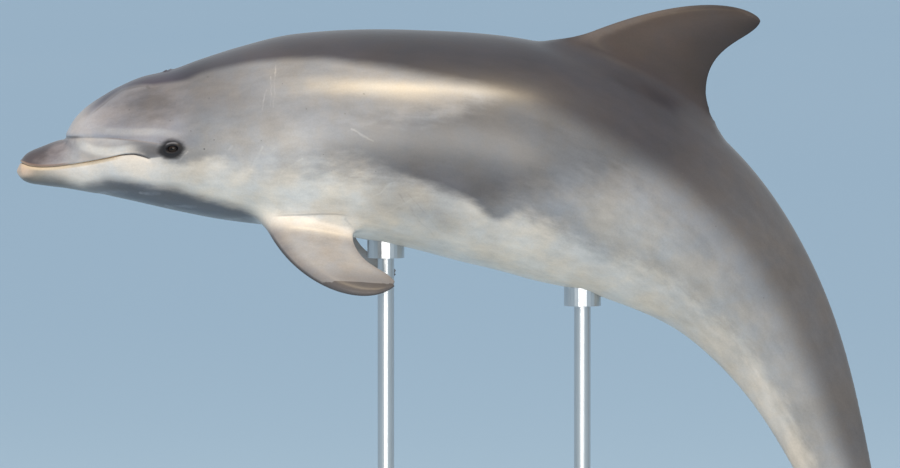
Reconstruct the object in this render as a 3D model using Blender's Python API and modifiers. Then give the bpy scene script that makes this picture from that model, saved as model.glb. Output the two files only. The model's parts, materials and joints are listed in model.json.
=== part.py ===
"""A bottlenose dolphin in mid leap, life size, held by a plain display stand.

The body is a loft along a curved axis that runs from the snout, at -X, over the back and down
to the tail. A place on the body is told by three numbers, all as fractions of LENGTH:
    along   the distance down the axis from the tip of the snout
    side    the distance to the animal's left (-Y) when negative, to its right when positive
    height  the distance from the axis towards the back
Fins, flippers and flukes are foil sections between a leading and a trailing Bezier curve.
Metres, +Z up. The origin is the middle of the underside of the stand's base plate.
"""
import math

import bmesh
import bpy
from mathutils import Vector

# ---------------------------------------------------------------- driving dimensions
LENGTH = 2.30                      # tip of snout to notch of the flukes, along the axis
SNOUT_X = -0.900                   # tip of the snout, ahead of the stand's middle
SNOUT_Z = 0.987                    # tip of the snout, above the floor
GAP = 0.0003                       # clearance between neighbouring solids
AROUND = 32                        # corners in a section of the body
RING_STEP = 0.044                  # metres between sections of the body

# pitch of the axis, degrees below level, at fractions of LENGTH: the arch of the leap
PITCH = ((0.0, -8.3), (0.20, -8.0), (0.27, -4.5), (0.32, 0.0), (0.42, 12.0), (0.52, 26.5),
         (0.62, 41.5), (0.72, 56.0), (0.82, 65.0), (0.87, 66.0), (0.96, 61.0), (1.06, 52.0))

# the side view: height of the back and of the belly along the axis
BACK = ((0.047, 0.0210), (0.0505, 0.0275), (0.055, 0.0342), (0.062, 0.0410), (0.072, 0.0476),
        (0.085, 0.0538), (0.102, 0.0604), (0.125, 0.0662), (0.147, 0.0680), (0.176, 0.0739),
        (0.21, 0.0798), (0.26, 0.0858), (0.35, 0.0870), (0.46, 0.0955), (0.52, 0.0972),
        (0.60, 0.0905), (0.70, 0.0730), (0.80, 0.0520), (0.90, 0.0295), (0.945, 0.0180),
        (0.985, 0.0062))
BELLY = ((0.047, -0.0160), (0.055, -0.0235), (0.072, -0.0322), (0.100, -0.0430),
         (0.138, -0.0575), (0.173, -0.0696), (0.212, -0.0801), (0.289, -0.0970),
         (0.352, -0.1062), (0.43, -0.1125), (0.50, -0.1090), (0.60, -0.0865), (0.70, -0.0565),
         (0.80, -0.0370), (0.90, -0.0255), (0.945, -0.0165), (0.985, -0.0060))
# the plan view: half the width, and the height at which the section is widest
HALF_WIDTH = ((0.047, 0.0160), (0.050, 0.0225), (0.055, 0.0280), (0.062, 0.0330),
              (0.072, 0.0380), (0.085, 0.0425), (0.105, 0.0476), (0.140, 0.0535),
              (0.185, 0.0660), (0.25, 0.0815), (0.35, 0.0893), (0.45, 0.0855), (0.55, 0.0715),
              (0.65, 0.0487), (0.75, 0.0285), (0.85, 0.0180), (0.945, 0.0125), (0.985, 0.0060))
WIDEST = ((0.047, 0.004), (0.072, 0.012), (0.100, 0.011), (0.16, 0.002), (0.25, -0.006),
          (0.40, -0.010), (0.50, -0.006), (0.65, 0.003), (0.85, 0.004), (0.985, 0.000))
# how much the section narrows above and below its widest place: 0 is an ellipse, more is a keel
KEEL_ABOVE = ((0.047, -0.10), (0.10, -0.12), (0.20, -0.02), (0.45, 0.05), (0.60, 0.12),
              (0.75, 0.30), (0.90, 0.25), (0.985, 0.0))
KEEL_BELOW = ((0.047, 0.0), (0.10, 0.06), (0.20, -0.05), (0.45, -0.06), (0.60, 0.02),
              (0.75, 0.28), (0.90, 0.25), (0.985, 0.0))

# the beak, which runs back inside the head as far as the corners of the mouth
BEAK_TOP = ((0.0, 0.0020), (0.003, 0.0075), (0.010, 0.0130), (0.023, 0.0166), (0.047, 0.0208),
            (0.070, 0.0200), (0.118, 0.0140))
BEAK_BOTTOM = ((0.0, -0.0040), (0.003, -0.0090), (0.010, -0.0138), (0.019, -0.0167),
               (0.036, -0.0214), (0.053, -0.0262), (0.071, -0.0318), (0.118, -0.0440))
BEAK_HALF = ((0.0, 0.0040), (0.003, 0.0098), (0.010, 0.0148), (0.020, 0.0183), (0.047, 0.0241),
             (0.070, 0.0318), (0.118, 0.0420))
BEAK_WIDEST = -0.002
BEAK_LEAN = 0.004                  # the lower jaw's tip reaches this far past the upper's
BEAK_LEAN_END = 0.03
BEAK_END = 0.118
BEAK_AROUND = 28

# line of the mouth, from ahead of the snout to its corner, and the edge of the jaw piece
MOUTH = ((-0.03, 0.0085), (0.004, 0.0046), (0.020, -0.0008), (0.040, -0.0023), (0.075, -0.0024),
         (0.100, -0.0009), (0.110, -0.0020), (0.118, -0.0060))
JAW_END = 0.120

# where the body is parted into its regions
NECK_START = 0.165
CHEST_START = 0.205
TRUNK_START = 0.300
LOIN_START = 0.445
TAIL_START = 0.605
PEDUNCLE_START = 0.780
BODY_END = 0.985

# small features of the head
EYE_ALONG = 0.1423
EYE_HEIGHT = 0.0004
EYE_RADIUS = 0.0140
EYE_DEPTH = 0.0105                 # the eyeball's centre, inside the surface of the head
BLOWHOLE_ALONG = 0.147
BLOWHOLE_RADIUS = 0.016
BLOWHOLE_SWEEP = math.radians(65)
BLOWHOLE_WIDTH = 0.008
BLOWHOLE_DEPTH = 0.010

# stand, metres
BASE_SIZE = (1.10, 0.52, 0.022)
BASE_EDGE = 0.004
POST_RADIUS = 0.017
POST_ALONG = (0.335, 0.575)        # where the two posts meet the belly
FLANGE_RADIUS = 0.050
FLANGE_HEIGHT = 0.010
CUP_RADIUS = 0.038
CUP_HEIGHT = 0.060

# ---------------------------------------------------------------- materials
DARK_GREY = (0.060, 0.055, 0.055)
MID_GREY = (0.180, 0.175, 0.175)
PALE = (0.620, 0.590, 0.550)
FIN_GREY = (0.105, 0.098, 0.095)
EYE_BLACK = (0.010, 0.008, 0.007)
STEEL = (0.560, 0.570, 0.580)
PLATE_GREY = (0.300, 0.310, 0.320)


def material(name, colour, roughness, metallic=0.0):
    """Principled material of one plain colour, made once."""
    made = bpy.data.materials.get(name)
    if made is None:
        made = bpy.data.materials.new(name)
        made.use_nodes = True
        shader = made.node_tree.nodes["Principled BSDF"]
        shader.inputs["Base Color"].default_value = (*colour, 1.0)
        shader.inputs["Roughness"].default_value = roughness
        shader.inputs["Metallic"].default_value = metallic
    return made


def skin(name, colour):
    return material(name, colour, 0.35)


# ---------------------------------------------------------------- curves
def smooth(table, place):
    """Monotone cubic through a table of (place, value) pairs, flat past its ends."""
    xs = [row[0] for row in table]
    ys = [row[1] for row in table]
    if place <= xs[0]:
        return ys[0]
    if place >= xs[-1]:
        return ys[-1]
    steps = [xs[i + 1] - xs[i] for i in range(len(xs) - 1)]
    slopes = [(ys[i + 1] - ys[i]) / steps[i] for i in range(len(steps))]
    tangents = [slopes[0]]
    for i in range(1, len(steps)):
        if slopes[i - 1] * slopes[i] <= 0.0:
            tangents.append(0.0)
            continue
        before = 2.0 * steps[i] + steps[i - 1]
        after = steps[i] + 2.0 * steps[i - 1]
        tangents.append((before + after) / (before / slopes[i - 1] + after / slopes[i]))
    tangents.append(slopes[-1])
    i = max(j for j in range(len(steps)) if xs[j] <= place)
    t = (place - xs[i]) / steps[i]
    start = ys[i] * (2 * t ** 3 - 3 * t ** 2 + 1) + steps[i] * tangents[i] * (t ** 3 - 2 * t ** 2 + t)
    end = ys[i + 1] * (3 * t ** 2 - 2 * t ** 3) + steps[i] * tangents[i + 1] * (t ** 3 - t ** 2)
    return start + end


def walk_axis(fine=0.001, last=1.06):
    """Points (x, z, pitch in radians) down the axis, at every fine fraction of LENGTH."""
    points = []
    x = SNOUT_X
    z = SNOUT_Z
    pitch = math.radians(PITCH[0][1])
    for i in range(round(last / fine) + 1):
        points.append((x, z, pitch))
        following = math.radians(smooth(PITCH, (i + 1) * fine))
        middle = (pitch + following) / 2
        x += LENGTH * fine * math.cos(middle)
        z -= LENGTH * fine * math.sin(middle)
        pitch = following
    return points


AXIS_STEP = 0.001
AXIS = walk_axis(AXIS_STEP)


def place(along, side=0.0, height=0.0):
    """World point of a place on the body."""
    if along < 0.0:
        x, z, pitch = AXIS[0]
        x += LENGTH * along * math.cos(pitch)
        z -= LENGTH * along * math.sin(pitch)
    else:
        i = min(int(along / AXIS_STEP), len(AXIS) - 2)
        part = along / AXIS_STEP - i
        x, z, pitch = (a + (b - a) * part for a, b in zip(AXIS[i], AXIS[i + 1]))
    x += LENGTH * height * math.sin(pitch)
    z += LENGTH * height * math.cos(pitch)
    return Vector((x, LENGTH * side, z))


def bezier(points, t):
    """Point of a cubic Bezier curve in the plane."""
    a, b, c, d = points
    weights = ((1 - t) ** 3, 3 * (1 - t) ** 2 * t, 3 * (1 - t) * t ** 2, t ** 3)
    return tuple(sum(w * p[k] for w, p in zip(weights, (a, b, c, d))) for k in (0, 1))


# ---------------------------------------------------------------- objects
def add_object(name, collection, paint=None):
    mesh = bpy.data.meshes.new(name)
    made = bpy.data.objects.new(name, mesh)
    collection.objects.link(made)
    if paint is not None:
        mesh.materials.append(paint)
    return made


def finish(made, bm, smooth_angle=40.0):
    """Write a bmesh to an object with its faces pointing out."""
    bmesh.ops.recalc_face_normals(bm, faces=bm.faces)
    bm.to_mesh(made.data)
    bm.free()
    made.data.shade_smooth()
    made.data.set_sharp_from_angle(angle=math.radians(smooth_angle))
    return made


def loft(made, rings, tip=None):
    """Skin over a row of rings of points, flat at its ends, or closed to a point at a tip."""
    bm = bmesh.new()
    rows = [[bm.verts.new(point) for point in ring] for ring in rings]
    for here, there in zip(rows, rows[1:]):
        for i in range(len(here)):
            j = (i + 1) % len(here)
            bm.faces.new((here[i], here[j], there[j], there[i]))
    bm.faces.new(rows[0])
    if tip is None:
        bm.faces.new(rows[-1])
    else:
        point = bm.verts.new(tip)
        for i in range(len(rows[-1])):
            bm.faces.new((rows[-1][i], rows[-1][(i + 1) % len(rows[-1])], point))
    return finish(made, bm)


def boolean(made, other, operation):
    """Apply a Boolean with another object at once."""
    step = made.modifiers.new(operation.title(), "BOOLEAN")
    step.object = other
    step.operation = operation
    step.solver = "EXACT"
    depsgraph = bpy.context.evaluated_depsgraph_get()
    result = bpy.data.meshes.new_from_object(made.evaluated_get(depsgraph))
    made.modifiers.clear()
    made.data = result


def as_cutter(made):
    made.hide_render = True
    made.display_type = "WIRE"
    return made


# ---------------------------------------------------------------- body
def section(along, half, back, belly, widest, keel_above=0.0, keel_below=0.0, lean=0.0, grow=0.0,
            corners=AROUND):
    """Ring of points round the axis: two half ellipses that meet at the widest height."""
    extra = grow / LENGTH
    ring = []
    for i in range(corners):
        angle = 2 * math.pi * i / corners
        up = math.cos(angle)
        out = math.sin(angle)
        keel = keel_above if up > 0 else keel_below
        reach = back - widest if up > 0 else widest - belly
        side = (half + extra) * out * (1 - keel * up * up)
        height = widest + (reach + extra) * up
        ring.append(place(along + lean * max(up, 0.0), side, height))
    return ring


def body_section(along, grow=0.0):
    return section(along, smooth(HALF_WIDTH, along), smooth(BACK, along), smooth(BELLY, along),
                   smooth(WIDEST, along), smooth(KEEL_ABOVE, along), smooth(KEEL_BELOW, along),
                   grow=grow)


def body_rings(start, end, grow=0.0):
    """Sections of the body between two places, about RING_STEP apart."""
    count = max(2, round((end - start) * LENGTH / RING_STEP) + 1)
    return [body_section(start + (end - start) * i / (count - 1), grow) for i in range(count)]


def head_rings(grow=0.0):
    """Sections of the head: close together on the steep front of the melon."""
    extra = grow / LENGTH
    face = [0.047, 0.0488, 0.0515, 0.055, 0.0595, 0.065, 0.072, 0.081, 0.091]
    rest = [0.091 + (NECK_START - 0.091) * i / 5 for i in range(1, 6)]
    rings = [body_section(0.047, grow)]
    for along in face + rest:
        rings.append(body_section(along, grow))
    rings[0] = [point - (place(extra) - place(0.0)) for point in rings[0]]
    if grow == 0.0:
        return rings[1:]
    return rings


def beak_rings():
    places = [0.0, 0.0012, 0.003, 0.006, 0.010, 0.015, 0.022, 0.031, 0.040, 0.048, 0.057, 0.070,
              0.086, 0.102, BEAK_END]
    rings = []
    for along in places:
        lean = BEAK_LEAN * max(0.0, 1 - along / BEAK_LEAN_END) ** 2
        rings.append(section(along, smooth(BEAK_HALF, along), smooth(BEAK_TOP, along),
                             smooth(BEAK_BOTTOM, along), BEAK_WIDEST, lean=lean,
                             corners=BEAK_AROUND))
    return rings


def jaw_block(name, collection, inset):
    """Block that holds all of the head below the mouth, back to the corner of the jaw."""
    steps = 40
    first = MOUTH[0][0]
    last = JAW_END - inset / LENGTH
    drop = inset / LENGTH
    outline = []
    for i in range(steps + 1):
        along = first + (last - first) * i / steps
        outline.append(place(along, -0.1, smooth(MOUTH, along) - drop))
    outline.append(place(last, -0.1, -0.12))
    outline.append(place(first, -0.1, -0.12))
    bm = bmesh.new()
    face = bm.faces.new([bm.verts.new(point) for point in outline])
    grown = bmesh.ops.extrude_face_region(bm, geom=[face])
    moved = [part for part in grown["geom"] if isinstance(part, bmesh.types.BMVert)]
    bmesh.ops.translate(bm, verts=moved, vec=(0.0, 0.2 * LENGTH, 0.0))
    return as_cutter(finish(add_object(name, collection), bm))


def flank(along, side, height):
    """World point on the left (side -1) or right (side 1) surface of the body."""
    widest = smooth(WIDEST, along)
    reach = smooth(BACK, along) - widest if height > widest else widest - smooth(BELLY, along)
    keel = smooth(KEEL_ABOVE if height > widest else KEEL_BELOW, along)
    up = (height - widest) / reach
    out = smooth(HALF_WIDTH, along) * math.sqrt(1 - up * up) * (1 - keel * up * up)
    return place(along, side * out, height)


def make_eyes(collection, cutters, head):
    """Two eyeballs in sockets in the head."""
    for name, side in (("eye_left", -1), ("eye_right", 1)):
        tailward = flank(EYE_ALONG + 0.001, side, EYE_HEIGHT) - flank(EYE_ALONG, side, EYE_HEIGHT)
        upward = flank(EYE_ALONG, side, EYE_HEIGHT + 0.001) - flank(EYE_ALONG, side, EYE_HEIGHT)
        inward = side * tailward.cross(upward).normalized()
        centre = flank(EYE_ALONG, side, EYE_HEIGHT) + EYE_DEPTH * inward
        socket = as_cutter(add_object(name + "_socket", cutters))
        ball = add_object(name, collection, material("eye", EYE_BLACK, 0.1))
        for made, radius in ((ball, EYE_RADIUS), (socket, EYE_RADIUS + 2 * GAP)):
            bm = bmesh.new()
            bmesh.ops.create_uvsphere(bm, u_segments=16, v_segments=8, radius=radius)
            bmesh.ops.translate(bm, verts=bm.verts, vec=centre)
            finish(made, bm, 60.0)
        boolean(head, socket, "DIFFERENCE")


def crescent(made, grow):
    """Crescent block sunk in the top of the head, its horns pointing to the snout."""
    outer = []
    inner = []
    steps = 10
    for i in range(steps + 1):
        turn = -1 + 2 * i / steps
        half = BLOWHOLE_WIDTH / 2 * (1 - 0.75 * turn * turn) + grow
        angle = BLOWHOLE_SWEEP * turn
        for row, reach in ((outer, BLOWHOLE_RADIUS + half), (inner, BLOWHOLE_RADIUS - half)):
            row.append((reach * math.cos(angle) - BLOWHOLE_RADIUS, reach * math.sin(angle)))
    centre = place(BLOWHOLE_ALONG, 0.0, smooth(BACK, BLOWHOLE_ALONG))
    tailward = (place(BLOWHOLE_ALONG + 0.01) - place(BLOWHOLE_ALONG)).normalized()
    upward = (place(BLOWHOLE_ALONG, 0.0, 0.01) - place(BLOWHOLE_ALONG)).normalized()
    bm = bmesh.new()
    floor = -BLOWHOLE_DEPTH - grow
    corners = [centre + x * tailward + Vector((0.0, y, 0.0)) + floor * upward
               for x, y in outer + inner[::-1]]
    face = bm.faces.new([bm.verts.new(corner) for corner in corners])
    grown = bmesh.ops.extrude_face_region(bm, geom=[face])
    moved = [part for part in grown["geom"] if isinstance(part, bmesh.types.BMVert)]
    bmesh.ops.translate(bm, verts=moved, vec=2 * BLOWHOLE_DEPTH * upward)
    return finish(made, bm)


def make_blowhole(collection, cutters, head):
    """Crescent plug of the blowhole, in a slot in the head."""
    slot = as_cutter(crescent(add_object("blowhole_slot", cutters), 2 * GAP))
    plug = crescent(add_object("blowhole", collection, skin("skin_fin", FIN_GREY)), GAP)
    boolean(plug, head, "INTERSECT")
    boolean(head, slot, "DIFFERENCE")


def make_head(collection, cutters):
    """Head, upper jaw and lower jaw, parted along the mouth and the melon's crease."""
    head = loft(add_object("head", collection, skin("skin_flank", MID_GREY)), head_rings())
    swollen = as_cutter(loft(add_object("head_swollen", cutters), head_rings(GAP)))
    upper = loft(add_object("upper_jaw", collection, skin("skin_cape", DARK_GREY)), beak_rings())
    lower = loft(add_object("lower_jaw", collection, skin("skin_belly", PALE)), beak_rings())
    above = jaw_block("jaw_block", cutters, 0.0)
    below = jaw_block("jaw_block_inset", cutters, GAP)
    boolean(lower, head, "UNION")
    boolean(lower, below, "INTERSECT")
    boolean(head, above, "DIFFERENCE")
    boolean(upper, above, "DIFFERENCE")
    boolean(upper, swollen, "DIFFERENCE")
    make_eyes(collection, cutters, head)
    make_blowhole(collection, cutters, head)


REGIONS = (
    ("neck", NECK_START, CHEST_START, "skin_flank", MID_GREY),
    ("chest", CHEST_START, TRUNK_START, "skin_flank", MID_GREY),
    ("trunk", TRUNK_START, LOIN_START, "skin_flank", MID_GREY),
    ("loin", LOIN_START, TAIL_START, "skin_flank", MID_GREY),
    ("tail_stock", TAIL_START, PEDUNCLE_START, "skin_cape", DARK_GREY),
    ("peduncle", PEDUNCLE_START, BODY_END, "skin_cape", DARK_GREY),
)


def region_rings(start, end, grow=0.0):
    """Sections of one region, which stops a gap short of its neighbours."""
    gap = GAP / LENGTH / 2
    return body_rings(start + gap, end - gap, grow)


def make_body(collection):
    """Regions of the body behind the head, each its own loft."""
    for name, start, end, paint, colour in REGIONS:
        loft(add_object(name, collection, skin(paint, colour)), region_rings(start, end))


def make_swollen(cutters):
    """The whole body behind the head, grown by the gap, to trim what meets it."""
    rings = []
    for _, start, end, _, _ in REGIONS:
        rings += region_rings(start, end, GAP)
    rings.append(body_section(BODY_END + GAP / LENGTH, GAP))
    return as_cutter(loft(add_object("body_swollen", cutters), rings))


# ---------------------------------------------------------------- fins
DORSAL_LEAD = ((0.0, 0.0), (0.0934, 0.1175), (0.1522, 0.1085), (0.1515, 0.1010))
DORSAL_TRAIL = ((0.1557, 0.0), (0.1006, 0.0529), (0.1543, 0.0818), (0.1515, 0.1010))
DORSAL_FRONT = (0.4585, 0.0955)    # along and height of the front of its base
DORSAL_PITCH = math.radians(26.9)
DORSAL_THICKNESS = 0.0205
DORSAL_ROOT = 0.022                # how far the blank of the fin runs into the body

FLIPPER_LEAD = ((0.0, 0.0), (0.0243, 0.0734), (0.0927, 0.1031), (0.1180, 0.0713))
FLIPPER_TRAIL = ((0.0757, 0.0), (0.0794, 0.0556), (0.1087, 0.0488), (0.1180, 0.0713))
FLIPPER_AT = (-0.3904, 0.8847)     # X and Z of the front of its root
FLIPPER_SIDE = 0.041               # distance from the middle plane
FLIPPER_SPLAY = math.radians(42.0)
FLIPPER_THICKNESS = 0.0185
FLIPPER_ROOT = 0.026

FLUKE_LEAD = ((0.920, 0.008), (0.925, 0.045), (0.955, 0.098), (1.006, 0.120))
FLUKE_TRAIL = ((0.999, 0.0005), (1.022, 0.030), (0.992, 0.080), (1.006, 0.120))
FLUKE_THICKNESS = 0.0180
FLUKE_RISE = 0.006                 # the tips stand this far above the axis

FIN_STEPS = 12
FIN_AROUND = 18


def foil(angle):
    """Along the chord from 0 to 1, and half the thickness from -1 to 1."""
    return (1 - math.cos(angle)) / 2, math.sin(angle) * (0.6 + 0.4 * math.cos(angle)) / 0.7


def fin_rings(lead, trail, thickness, to_world, root=0.0):
    """Foil sections from root to tip, ending just short of the point where the curves meet."""
    rings = []
    spans = [-1.0] if root else []
    spans += [1 - (1 - i / FIN_STEPS) ** 1.5 for i in range(FIN_STEPS)]
    for span in spans:
        front = Vector(bezier(lead, max(span, 0.0)))
        back = Vector(bezier(trail, max(span, 0.0)))
        drop = root if span < 0 else 0.0
        thick = thickness / 2 * (1 - max(span, 0.0)) ** 0.55 * (1 - 0.25 * max(span, 0.0))
        ring = []
        for i in range(FIN_AROUND):
            across, bulge = foil(2 * math.pi * i / FIN_AROUND)
            flat = front.lerp(back, across)
            ring.append(to_world(flat[0], flat[1] - drop, thick * bulge))
        rings.append(ring)
    return rings


def make_dorsal_fin(collection, swollen):
    start = place(DORSAL_FRONT[0], 0.0, DORSAL_FRONT[1])
    chord = Vector((math.cos(DORSAL_PITCH), 0.0, -math.sin(DORSAL_PITCH)))
    rise = Vector((math.sin(DORSAL_PITCH), 0.0, math.cos(DORSAL_PITCH)))

    def to_world(chordwise, spanwise, bulge):
        flat = start + LENGTH * (chordwise * chord + spanwise * rise)
        return flat + Vector((0.0, LENGTH * bulge, 0.0))

    rings = fin_rings(DORSAL_LEAD, DORSAL_TRAIL, DORSAL_THICKNESS, to_world, DORSAL_ROOT)
    made = add_object("dorsal_fin", collection, skin("skin_fin", FIN_GREY))
    loft(made, rings, to_world(*DORSAL_LEAD[3], 0.0))
    boolean(made, swollen, "DIFFERENCE")


def make_flipper(collection, name, side, swollen):
    start = Vector((FLIPPER_AT[0], side * FLIPPER_SIDE * LENGTH, FLIPPER_AT[1]))
    chord = Vector((1.0, 0.0, 0.0))
    span = Vector((0.0, side * math.sin(FLIPPER_SPLAY), -math.cos(FLIPPER_SPLAY)))
    normal = Vector((0.0, side * math.cos(FLIPPER_SPLAY), math.sin(FLIPPER_SPLAY)))

    def to_world(chordwise, spanwise, bulge):
        return start + LENGTH * (chordwise * chord + spanwise * span + bulge * normal)

    rings = fin_rings(FLIPPER_LEAD, FLIPPER_TRAIL, FLIPPER_THICKNESS, to_world, FLIPPER_ROOT)
    made = add_object(name, collection, skin("skin_fin", FIN_GREY))
    loft(made, rings, to_world(*FLIPPER_LEAD[3], 0.0))
    boolean(made, swollen, "DIFFERENCE")


def make_fluke(collection, name, side, swollen):
    def to_world(along, out, bulge):
        rise = FLUKE_RISE * (out / FLUKE_LEAD[3][1]) ** 2
        return place(along, side * out, bulge + rise)

    rings = fin_rings(FLUKE_LEAD, FLUKE_TRAIL, FLUKE_THICKNESS, to_world)
    made = add_object(name, collection, skin("skin_fin", FIN_GREY))
    loft(made, rings, to_world(*FLUKE_LEAD[3], 0.0))
    boolean(made, swollen, "DIFFERENCE")


def make_fins(collection, swollen):
    make_dorsal_fin(collection, swollen)
    for name, side in (("left", -1), ("right", 1)):
        make_flipper(collection, "flipper_" + name, side, swollen)
        make_fluke(collection, "fluke_" + name, side, swollen)


# ---------------------------------------------------------------- stand
def cylinder(made, radius, bottom, top, x, segments=28):
    bm = bmesh.new()
    bmesh.ops.create_cone(bm, cap_ends=True, segments=segments, radius1=radius, radius2=radius,
                          depth=top - bottom)
    bmesh.ops.translate(bm, verts=bm.verts, vec=(x, 0.0, (top + bottom) / 2))
    return finish(made, bm)


def make_stand(collection, swollen):
    """Base plate, and two posts with a flange below and a fitted cup above."""
    steel = material("steel", STEEL, 0.3, 1.0)
    bm = bmesh.new()
    bmesh.ops.create_cube(bm, size=1.0)
    bmesh.ops.scale(bm, verts=bm.verts, vec=BASE_SIZE)
    bmesh.ops.translate(bm, verts=bm.verts, vec=(0.0, 0.0, BASE_SIZE[2] / 2))
    plate = finish(add_object("stand_base", collection, material("plate", PLATE_GREY, 0.5)), bm)
    edge = plate.modifiers.new("Bevel", "BEVEL")
    edge.width = BASE_EDGE
    edge.segments = 2
    for name, along in zip(("front", "rear"), POST_ALONG):
        belly = place(along, 0.0, smooth(BELLY, along))
        floor = BASE_SIZE[2] + GAP
        cup_bottom = belly.z - CUP_HEIGHT / 2
        cylinder(add_object("stand_flange_" + name, collection, steel), FLANGE_RADIUS, floor,
                 floor + FLANGE_HEIGHT, belly.x)
        cylinder(add_object("stand_post_" + name, collection, steel), POST_RADIUS,
                 floor + FLANGE_HEIGHT + GAP, cup_bottom - GAP, belly.x)
        cup = cylinder(add_object("stand_cup_" + name, collection, steel), CUP_RADIUS, cup_bottom,
                       cup_bottom + 2 * CUP_HEIGHT, belly.x)
        boolean(cup, swollen, "DIFFERENCE")


# ---------------------------------------------------------------- build
def new_collection(name):
    made = bpy.data.collections.new(name)
    bpy.context.scene.collection.children.link(made)
    return made


def main():
    for old in list(bpy.data.objects):
        bpy.data.objects.remove(old)
    parts = new_collection("dolphin")
    cutters = new_collection("cutters")
    make_head(parts, cutters)
    make_body(parts)
    swollen = make_swollen(cutters)
    make_fins(parts, swollen)
    make_stand(parts, swollen)


main()
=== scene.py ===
"""Looks of the leaping bottlenose dolphin: one smooth wet skin over the solid body, with its
markings, mouth, eyelids and blowhole, glass eyes, and the display stand, in a plain studio.

A place on the body is told by three numbers, as fractions of LENGTH: along the curved axis from
the tip of the snout, side (the animal's left is negative) and height from the axis to the back.
"""
import json
import math

import bpy
import numpy as np
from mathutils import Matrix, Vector
from mathutils.bvhtree import BVHTree

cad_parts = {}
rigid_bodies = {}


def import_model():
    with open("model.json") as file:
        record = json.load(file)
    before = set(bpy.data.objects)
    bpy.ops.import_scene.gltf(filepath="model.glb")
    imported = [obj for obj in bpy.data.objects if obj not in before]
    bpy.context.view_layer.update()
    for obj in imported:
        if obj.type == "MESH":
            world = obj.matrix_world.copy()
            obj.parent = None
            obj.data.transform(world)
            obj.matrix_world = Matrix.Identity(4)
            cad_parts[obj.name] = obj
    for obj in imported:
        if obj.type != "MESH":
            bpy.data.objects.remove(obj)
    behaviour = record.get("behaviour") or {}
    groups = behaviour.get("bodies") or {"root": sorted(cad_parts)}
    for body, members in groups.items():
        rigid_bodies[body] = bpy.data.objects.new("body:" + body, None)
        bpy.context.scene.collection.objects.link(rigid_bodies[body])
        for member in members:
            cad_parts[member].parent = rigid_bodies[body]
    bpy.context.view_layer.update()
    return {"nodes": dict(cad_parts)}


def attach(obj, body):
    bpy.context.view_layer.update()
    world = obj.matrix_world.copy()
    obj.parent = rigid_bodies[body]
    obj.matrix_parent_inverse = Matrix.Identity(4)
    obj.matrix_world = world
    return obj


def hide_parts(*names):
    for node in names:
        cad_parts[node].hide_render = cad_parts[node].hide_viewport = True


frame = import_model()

# ---------------------------------------------------------------- driving sizes, metres
LENGTH = 2.3
SNOUT_X = -0.9
SNOUT_Z = 0.987

# degrees by which the axis runs down towards the tail
PITCH = ((0.0, -8.3), (0.2, -8.0), (0.27, -4.5), (0.32, 0.0), (0.42, 12.0), (0.52, 26.5),
         (0.62, 41.5), (0.72, 56.0), (0.82, 65.0), (0.87, 66.0), (0.96, 61.0), (1.06, 52.0))

# the body: heights of back and belly, half the width, height of the widest place, and how much
# leaner than an ellipse it is above and below that place
BODY = {
    "back": ((0.028, 0.002), (0.04, 0.0085), (0.0455, 0.016), (0.0475, 0.0225), (0.0505, 0.0275),
             (0.055, 0.0342), (0.062, 0.041), (0.072, 0.0476), (0.085, 0.0538), (0.102, 0.0604),
             (0.125, 0.0662), (0.147, 0.068), (0.176, 0.0739), (0.21, 0.0798), (0.26, 0.0858),
             (0.35, 0.087), (0.46, 0.0955), (0.52, 0.0972), (0.6, 0.0905), (0.7, 0.073),
             (0.8, 0.052), (0.9, 0.0295), (0.945, 0.018), (0.985, 0.0062)),
    "belly": ((0.028, -0.004), (0.04, -0.012), (0.047, -0.018), (0.055, -0.024), (0.072, -0.0322),
              (0.1, -0.043), (0.138, -0.0575), (0.173, -0.0696), (0.212, -0.0801),
              (0.289, -0.097), (0.352, -0.1062), (0.43, -0.1125), (0.5, -0.109), (0.6, -0.0865),
              (0.7, -0.0565), (0.8, -0.037), (0.9, -0.0255), (0.945, -0.0165), (0.985, -0.006)),
    "half": ((0.028, 0.003), (0.04, 0.012), (0.047, 0.019), (0.055, 0.027), (0.062, 0.0325),
             (0.072, 0.038), (0.085, 0.0425), (0.105, 0.0476), (0.14, 0.0535), (0.185, 0.066),
             (0.25, 0.0815), (0.35, 0.0893), (0.45, 0.0855), (0.55, 0.0715), (0.65, 0.0487),
             (0.75, 0.0285), (0.85, 0.018), (0.945, 0.0125), (0.985, 0.006)),
    "widest": ((0.028, -0.001), (0.046, 0.004), (0.072, 0.012), (0.1, 0.011), (0.16, 0.002),
               (0.25, -0.006), (0.4, -0.01), (0.5, -0.006), (0.65, 0.003), (0.85, 0.004),
               (0.985, 0.0)),
    "keel_above": ((0.047, -0.1), (0.1, -0.12), (0.2, -0.02), (0.45, 0.05), (0.6, 0.12),
                   (0.75, 0.3), (0.9, 0.25), (0.985, 0.0)),
    "keel_below": ((0.047, 0.0), (0.1, 0.06), (0.2, -0.05), (0.45, -0.06), (0.6, 0.02),
                   (0.75, 0.28), (0.9, 0.25), (0.985, 0.0)),
    "ends": (0.028, 0.985),
}
# the beak, both jaws, which runs back into the head
BEAK = {
    "back": ((0.0, 0.002), (0.003, 0.0075), (0.01, 0.013), (0.023, 0.0166), (0.047, 0.0208),
             (0.06, 0.0195), (0.1, 0.006)),
    "belly": ((0.0, -0.004), (0.003, -0.009), (0.01, -0.0138), (0.019, -0.0167), (0.036, -0.0214),
              (0.053, -0.0258), (0.068, -0.0285), (0.1, -0.022)),
    "half": ((0.0, 0.004), (0.003, 0.0098), (0.01, 0.0148), (0.02, 0.0183), (0.047, 0.0243),
             (0.066, 0.029), (0.1, 0.024)),
    "widest": ((0.0, -0.002), (0.1, -0.002)),
    "keel_above": ((0.0, 0.0), (0.1, 0.0)),
    "keel_below": ((0.0, 0.0), (0.1, 0.0)),
    "ends": (0.0, 0.1),
}
# how far the top of the snout leans back, and where that ends
BEAK_LEAN = 0.004
BEAK_LEAN_END = 0.03

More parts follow.
